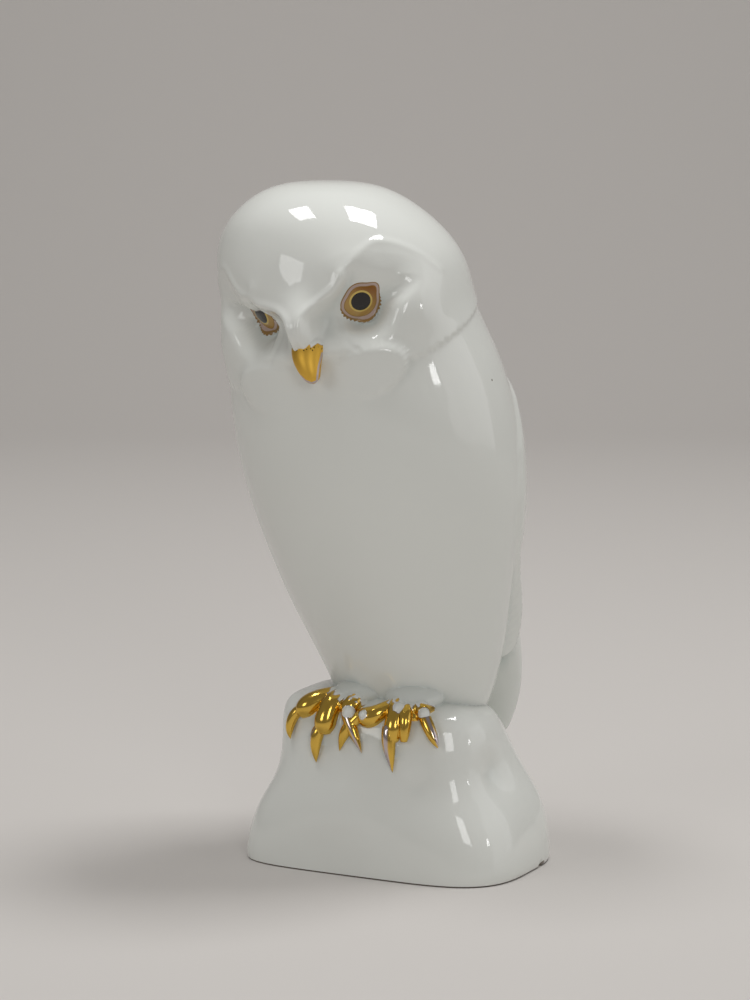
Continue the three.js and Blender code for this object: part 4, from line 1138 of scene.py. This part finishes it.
class CastOwl(bpy.types.Operator):
    """Casts the owl and its rock as one glazed piece"""
    bl_idname = "owl.cast"
    bl_label = "Cast the owl"

    def execute(self, context):
        """Makes each form, fuses them, paints the attributes and places the piece on its solid."""
        sizes, colours = context.scene.owl_sizes, context.scene.owl_colours
        materials = [
            porcelain_material(colours),
            gilt_material("gilt_toes", colours.toe_gold, TOE_ROUGHNESS, colours),
            gilt_material("gilt_bill", colours.bill_gold, BILL_ROUGHNESS, colours),
            eye_material(colours),
        ]
        bird = grid_object("porcelain_owl_glazed", bird_surface(sizes), materials, PORCELAIN)
        knobs = [(middle, (radius,) * 3) for middle, radius in KNUCKLES]
        forms = [(rock_surface(), PORCELAIN), (tail_surface(), PORCELAIN)]
        forms += [(path_surface(BILL_PATH, BILL_GRID), GILT_BILL)]
        forms += [(mound_surface(middle, half, LEG_GRID), PORCELAIN) for middle, half in LEGS]
        forms += [(path_surface(path, TOE_GRID), GILT_TOES) for path in TOES + CLAWS]
        forms += [(mound_surface(middle, half, KNOB_GRID), GILT_TOES) for middle, half in PADS + knobs]
        parts = [grid_object(f"form_{i}", points, materials, slot) for i, (points, slot) in enumerate(forms)]
        piece = fused(bird, parts)
        if len(piece.data.polygons) < LEAST_FACES:
            raise RuntimeError("the forms did not fuse")
        points = read_all(piece.data.vertices, "co", 3, float) / MM
        paint_glaze_and_shade(piece.data, points)
        paint_eyes(piece.data, points, sizes)
        paint_gilding(piece.data, points)
        piece.data.polygons.foreach_set("use_smooth", np.ones(len(piece.data.polygons), bool))
        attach(piece, "root")
        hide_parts(NODE)
        return {"FINISHED"}


class SetStage(bpy.types.Operator):
    """Sets the pale floor that curves up behind, the soft lights and the camera"""
    bl_idname = "owl.stage"
    bl_label = "Set the stage"

    def execute(self, context):
        """Makes the sweep, the lights and the camera."""
        make_sweep()
        make_lights()
        make_camera()
        return {"FINISHED"}


def paper_material():
    """Uncoated background paper: pale warm grey, and so matt that it shows no highlight."""
    material, tree = new_material("paper_sweep")
    shader = add_node(tree, "BsdfPrincipled", {"Base Color": linear(SWEEP_COLOUR), "Roughness": 0.9})
    add_node(tree, "OutputMaterial", {"Surface": shader.outputs["BSDF"]})
    return material


def make_sweep():
    """A floor that runs back and curves up into a wall: a profile carried sideways."""
    bend = np.linspace(0, math.pi / 2, SWEEP_BEND_POINTS)
    profile = np.vstack([
        [[-SWEEP_NEAR, 0]],
        np.stack([SWEEP_BACK + SWEEP_BEND * np.sin(bend), SWEEP_BEND * (1 - np.cos(bend))], -1),
        [[SWEEP_BACK + SWEEP_BEND, SWEEP_HEIGHT]],
    ])
    across = np.array([-SWEEP_HALF_WIDTH, SWEEP_HALF_WIDTH])
    points = np.stack([
        np.repeat(across[None, :], len(profile), 0),
        np.repeat(profile[:, :1], 2, 1),
        np.repeat(profile[:, 1:], 2, 1),
    ], -1)
    turn = np.array(Matrix.Rotation(math.radians(CAMERA_TURN), 3, "Z"))
    places = points.reshape(-1, 3) @ turn.T
    first = 2 * np.arange(len(profile) - 1)
    quads = np.stack([first, first + 1, first + 3, first + 2], -1)
    mesh = bpy.data.meshes.new("sweep")
    mesh.from_pydata(places.tolist(), [], quads.tolist())
    mesh.polygons.foreach_set("use_smooth", np.ones(len(mesh.polygons), bool))
    mesh.materials.append(paper_material())
    sweep = bpy.data.objects.new("sweep", mesh)
    bpy.context.scene.collection.objects.link(sweep)


def direction(turn, lift):
    """The level and upward angles, in degrees, as a unit vector from the owl."""
    a, e = math.radians(turn), math.radians(lift)
    return Vector((math.sin(a) * math.cos(e), -math.cos(a) * math.cos(e), math.sin(e)))


def add_soft_box(name, place, back, width, height, watts):
    """A rectangular lamp whose back is turned to the given direction."""
    light = bpy.data.lights.new(name, "AREA")
    light.shape = "RECTANGLE"
    light.size, light.size_y = width, height
    light.energy = watts
    lamp = bpy.data.objects.new(name, light)
    lamp.location = place
    lamp.rotation_euler = back.to_track_quat("Z", "Y").to_euler()
    bpy.context.scene.collection.objects.link(lamp)


def make_lights():
    """Rectangular soft boxes that face the owl, one that faces the wall, and an even pale room light."""
    for name, turn, lift, distance, *box in SOFT_BOXES:
        facing = direction(turn, lift)
        add_soft_box(name, Vector(LAMP_AIM) + distance * facing, facing, *box)
    back, high, *box = BACKDROP_LAMP
    behind = -back * direction(CAMERA_TURN, 0) + Vector((0, 0, high))
    add_soft_box("backdrop", behind, direction(CAMERA_TURN, BACKDROP_TILT), *box)
    world = bpy.data.worlds.new("room")
    bpy.context.scene.world = world
    world.use_nodes = True
    background = world.node_tree.nodes["Background"]
    background.inputs["Color"].default_value = linear(ROOM_COLOUR)
    background.inputs["Strength"].default_value = ROOM_STRENGTH


def make_camera():
    """The camera that sees the owl as the photograph does."""
    camera = bpy.data.cameras.new("camera")
    camera.lens = CAMERA_LENS
    camera.clip_end = CAMERA_SIGHT
    seen_from = direction(CAMERA_TURN, CAMERA_LIFT)
    holder = bpy.data.objects.new("camera", camera)
    holder.location = Vector(CAMERA_AIM) + CAMERA_DISTANCE * seen_from
    holder.rotation_euler = seen_from.to_track_quat("Z", "Y").to_euler()
    bpy.context.scene.collection.objects.link(holder)
    bpy.context.scene.camera = holder
    bpy.context.scene.view_settings.view_transform = "Standard"


class OwlPanel(bpy.types.Panel):
    """Sidebar panel with the sizes, the colours and both steps"""
    bl_label = "Porcelain owl"
    bl_idname = "OWL_PT_panel"
    bl_space_type = "VIEW_3D"
    bl_region_type = "UI"
    bl_category = "Owl"

    def draw(self, context):
        """Lists every property, then the buttons."""
        for group, settings in ((OwlSizes, context.scene.owl_sizes), (OwlColours, context.scene.owl_colours)):
            for name in group.__annotations__:
                self.layout.prop(settings, name)
        self.layout.operator(CastOwl.bl_idname)
        self.layout.operator(SetStage.bl_idname)


CLASSES = (OwlSizes, OwlColours, CastOwl, SetStage, OwlPanel)


def register():
    """Registers every class and hangs the settings on the scene."""
    for cls in CLASSES:
        bpy.utils.register_class(cls)
    bpy.types.Scene.owl_sizes = PointerProperty(type=OwlSizes)
    bpy.types.Scene.owl_colours = PointerProperty(type=OwlColours)


def unregister():
    """Undoes register."""
    del bpy.types.Scene.owl_colours
    del bpy.types.Scene.owl_sizes
    for cls in reversed(CLASSES):
        bpy.utils.unregister_class(cls)


def main():
    """Casts the owl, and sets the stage."""
    register()
    bpy.ops.owl.cast()
    bpy.ops.owl.stage()


if __name__ == "__main__":
    main()
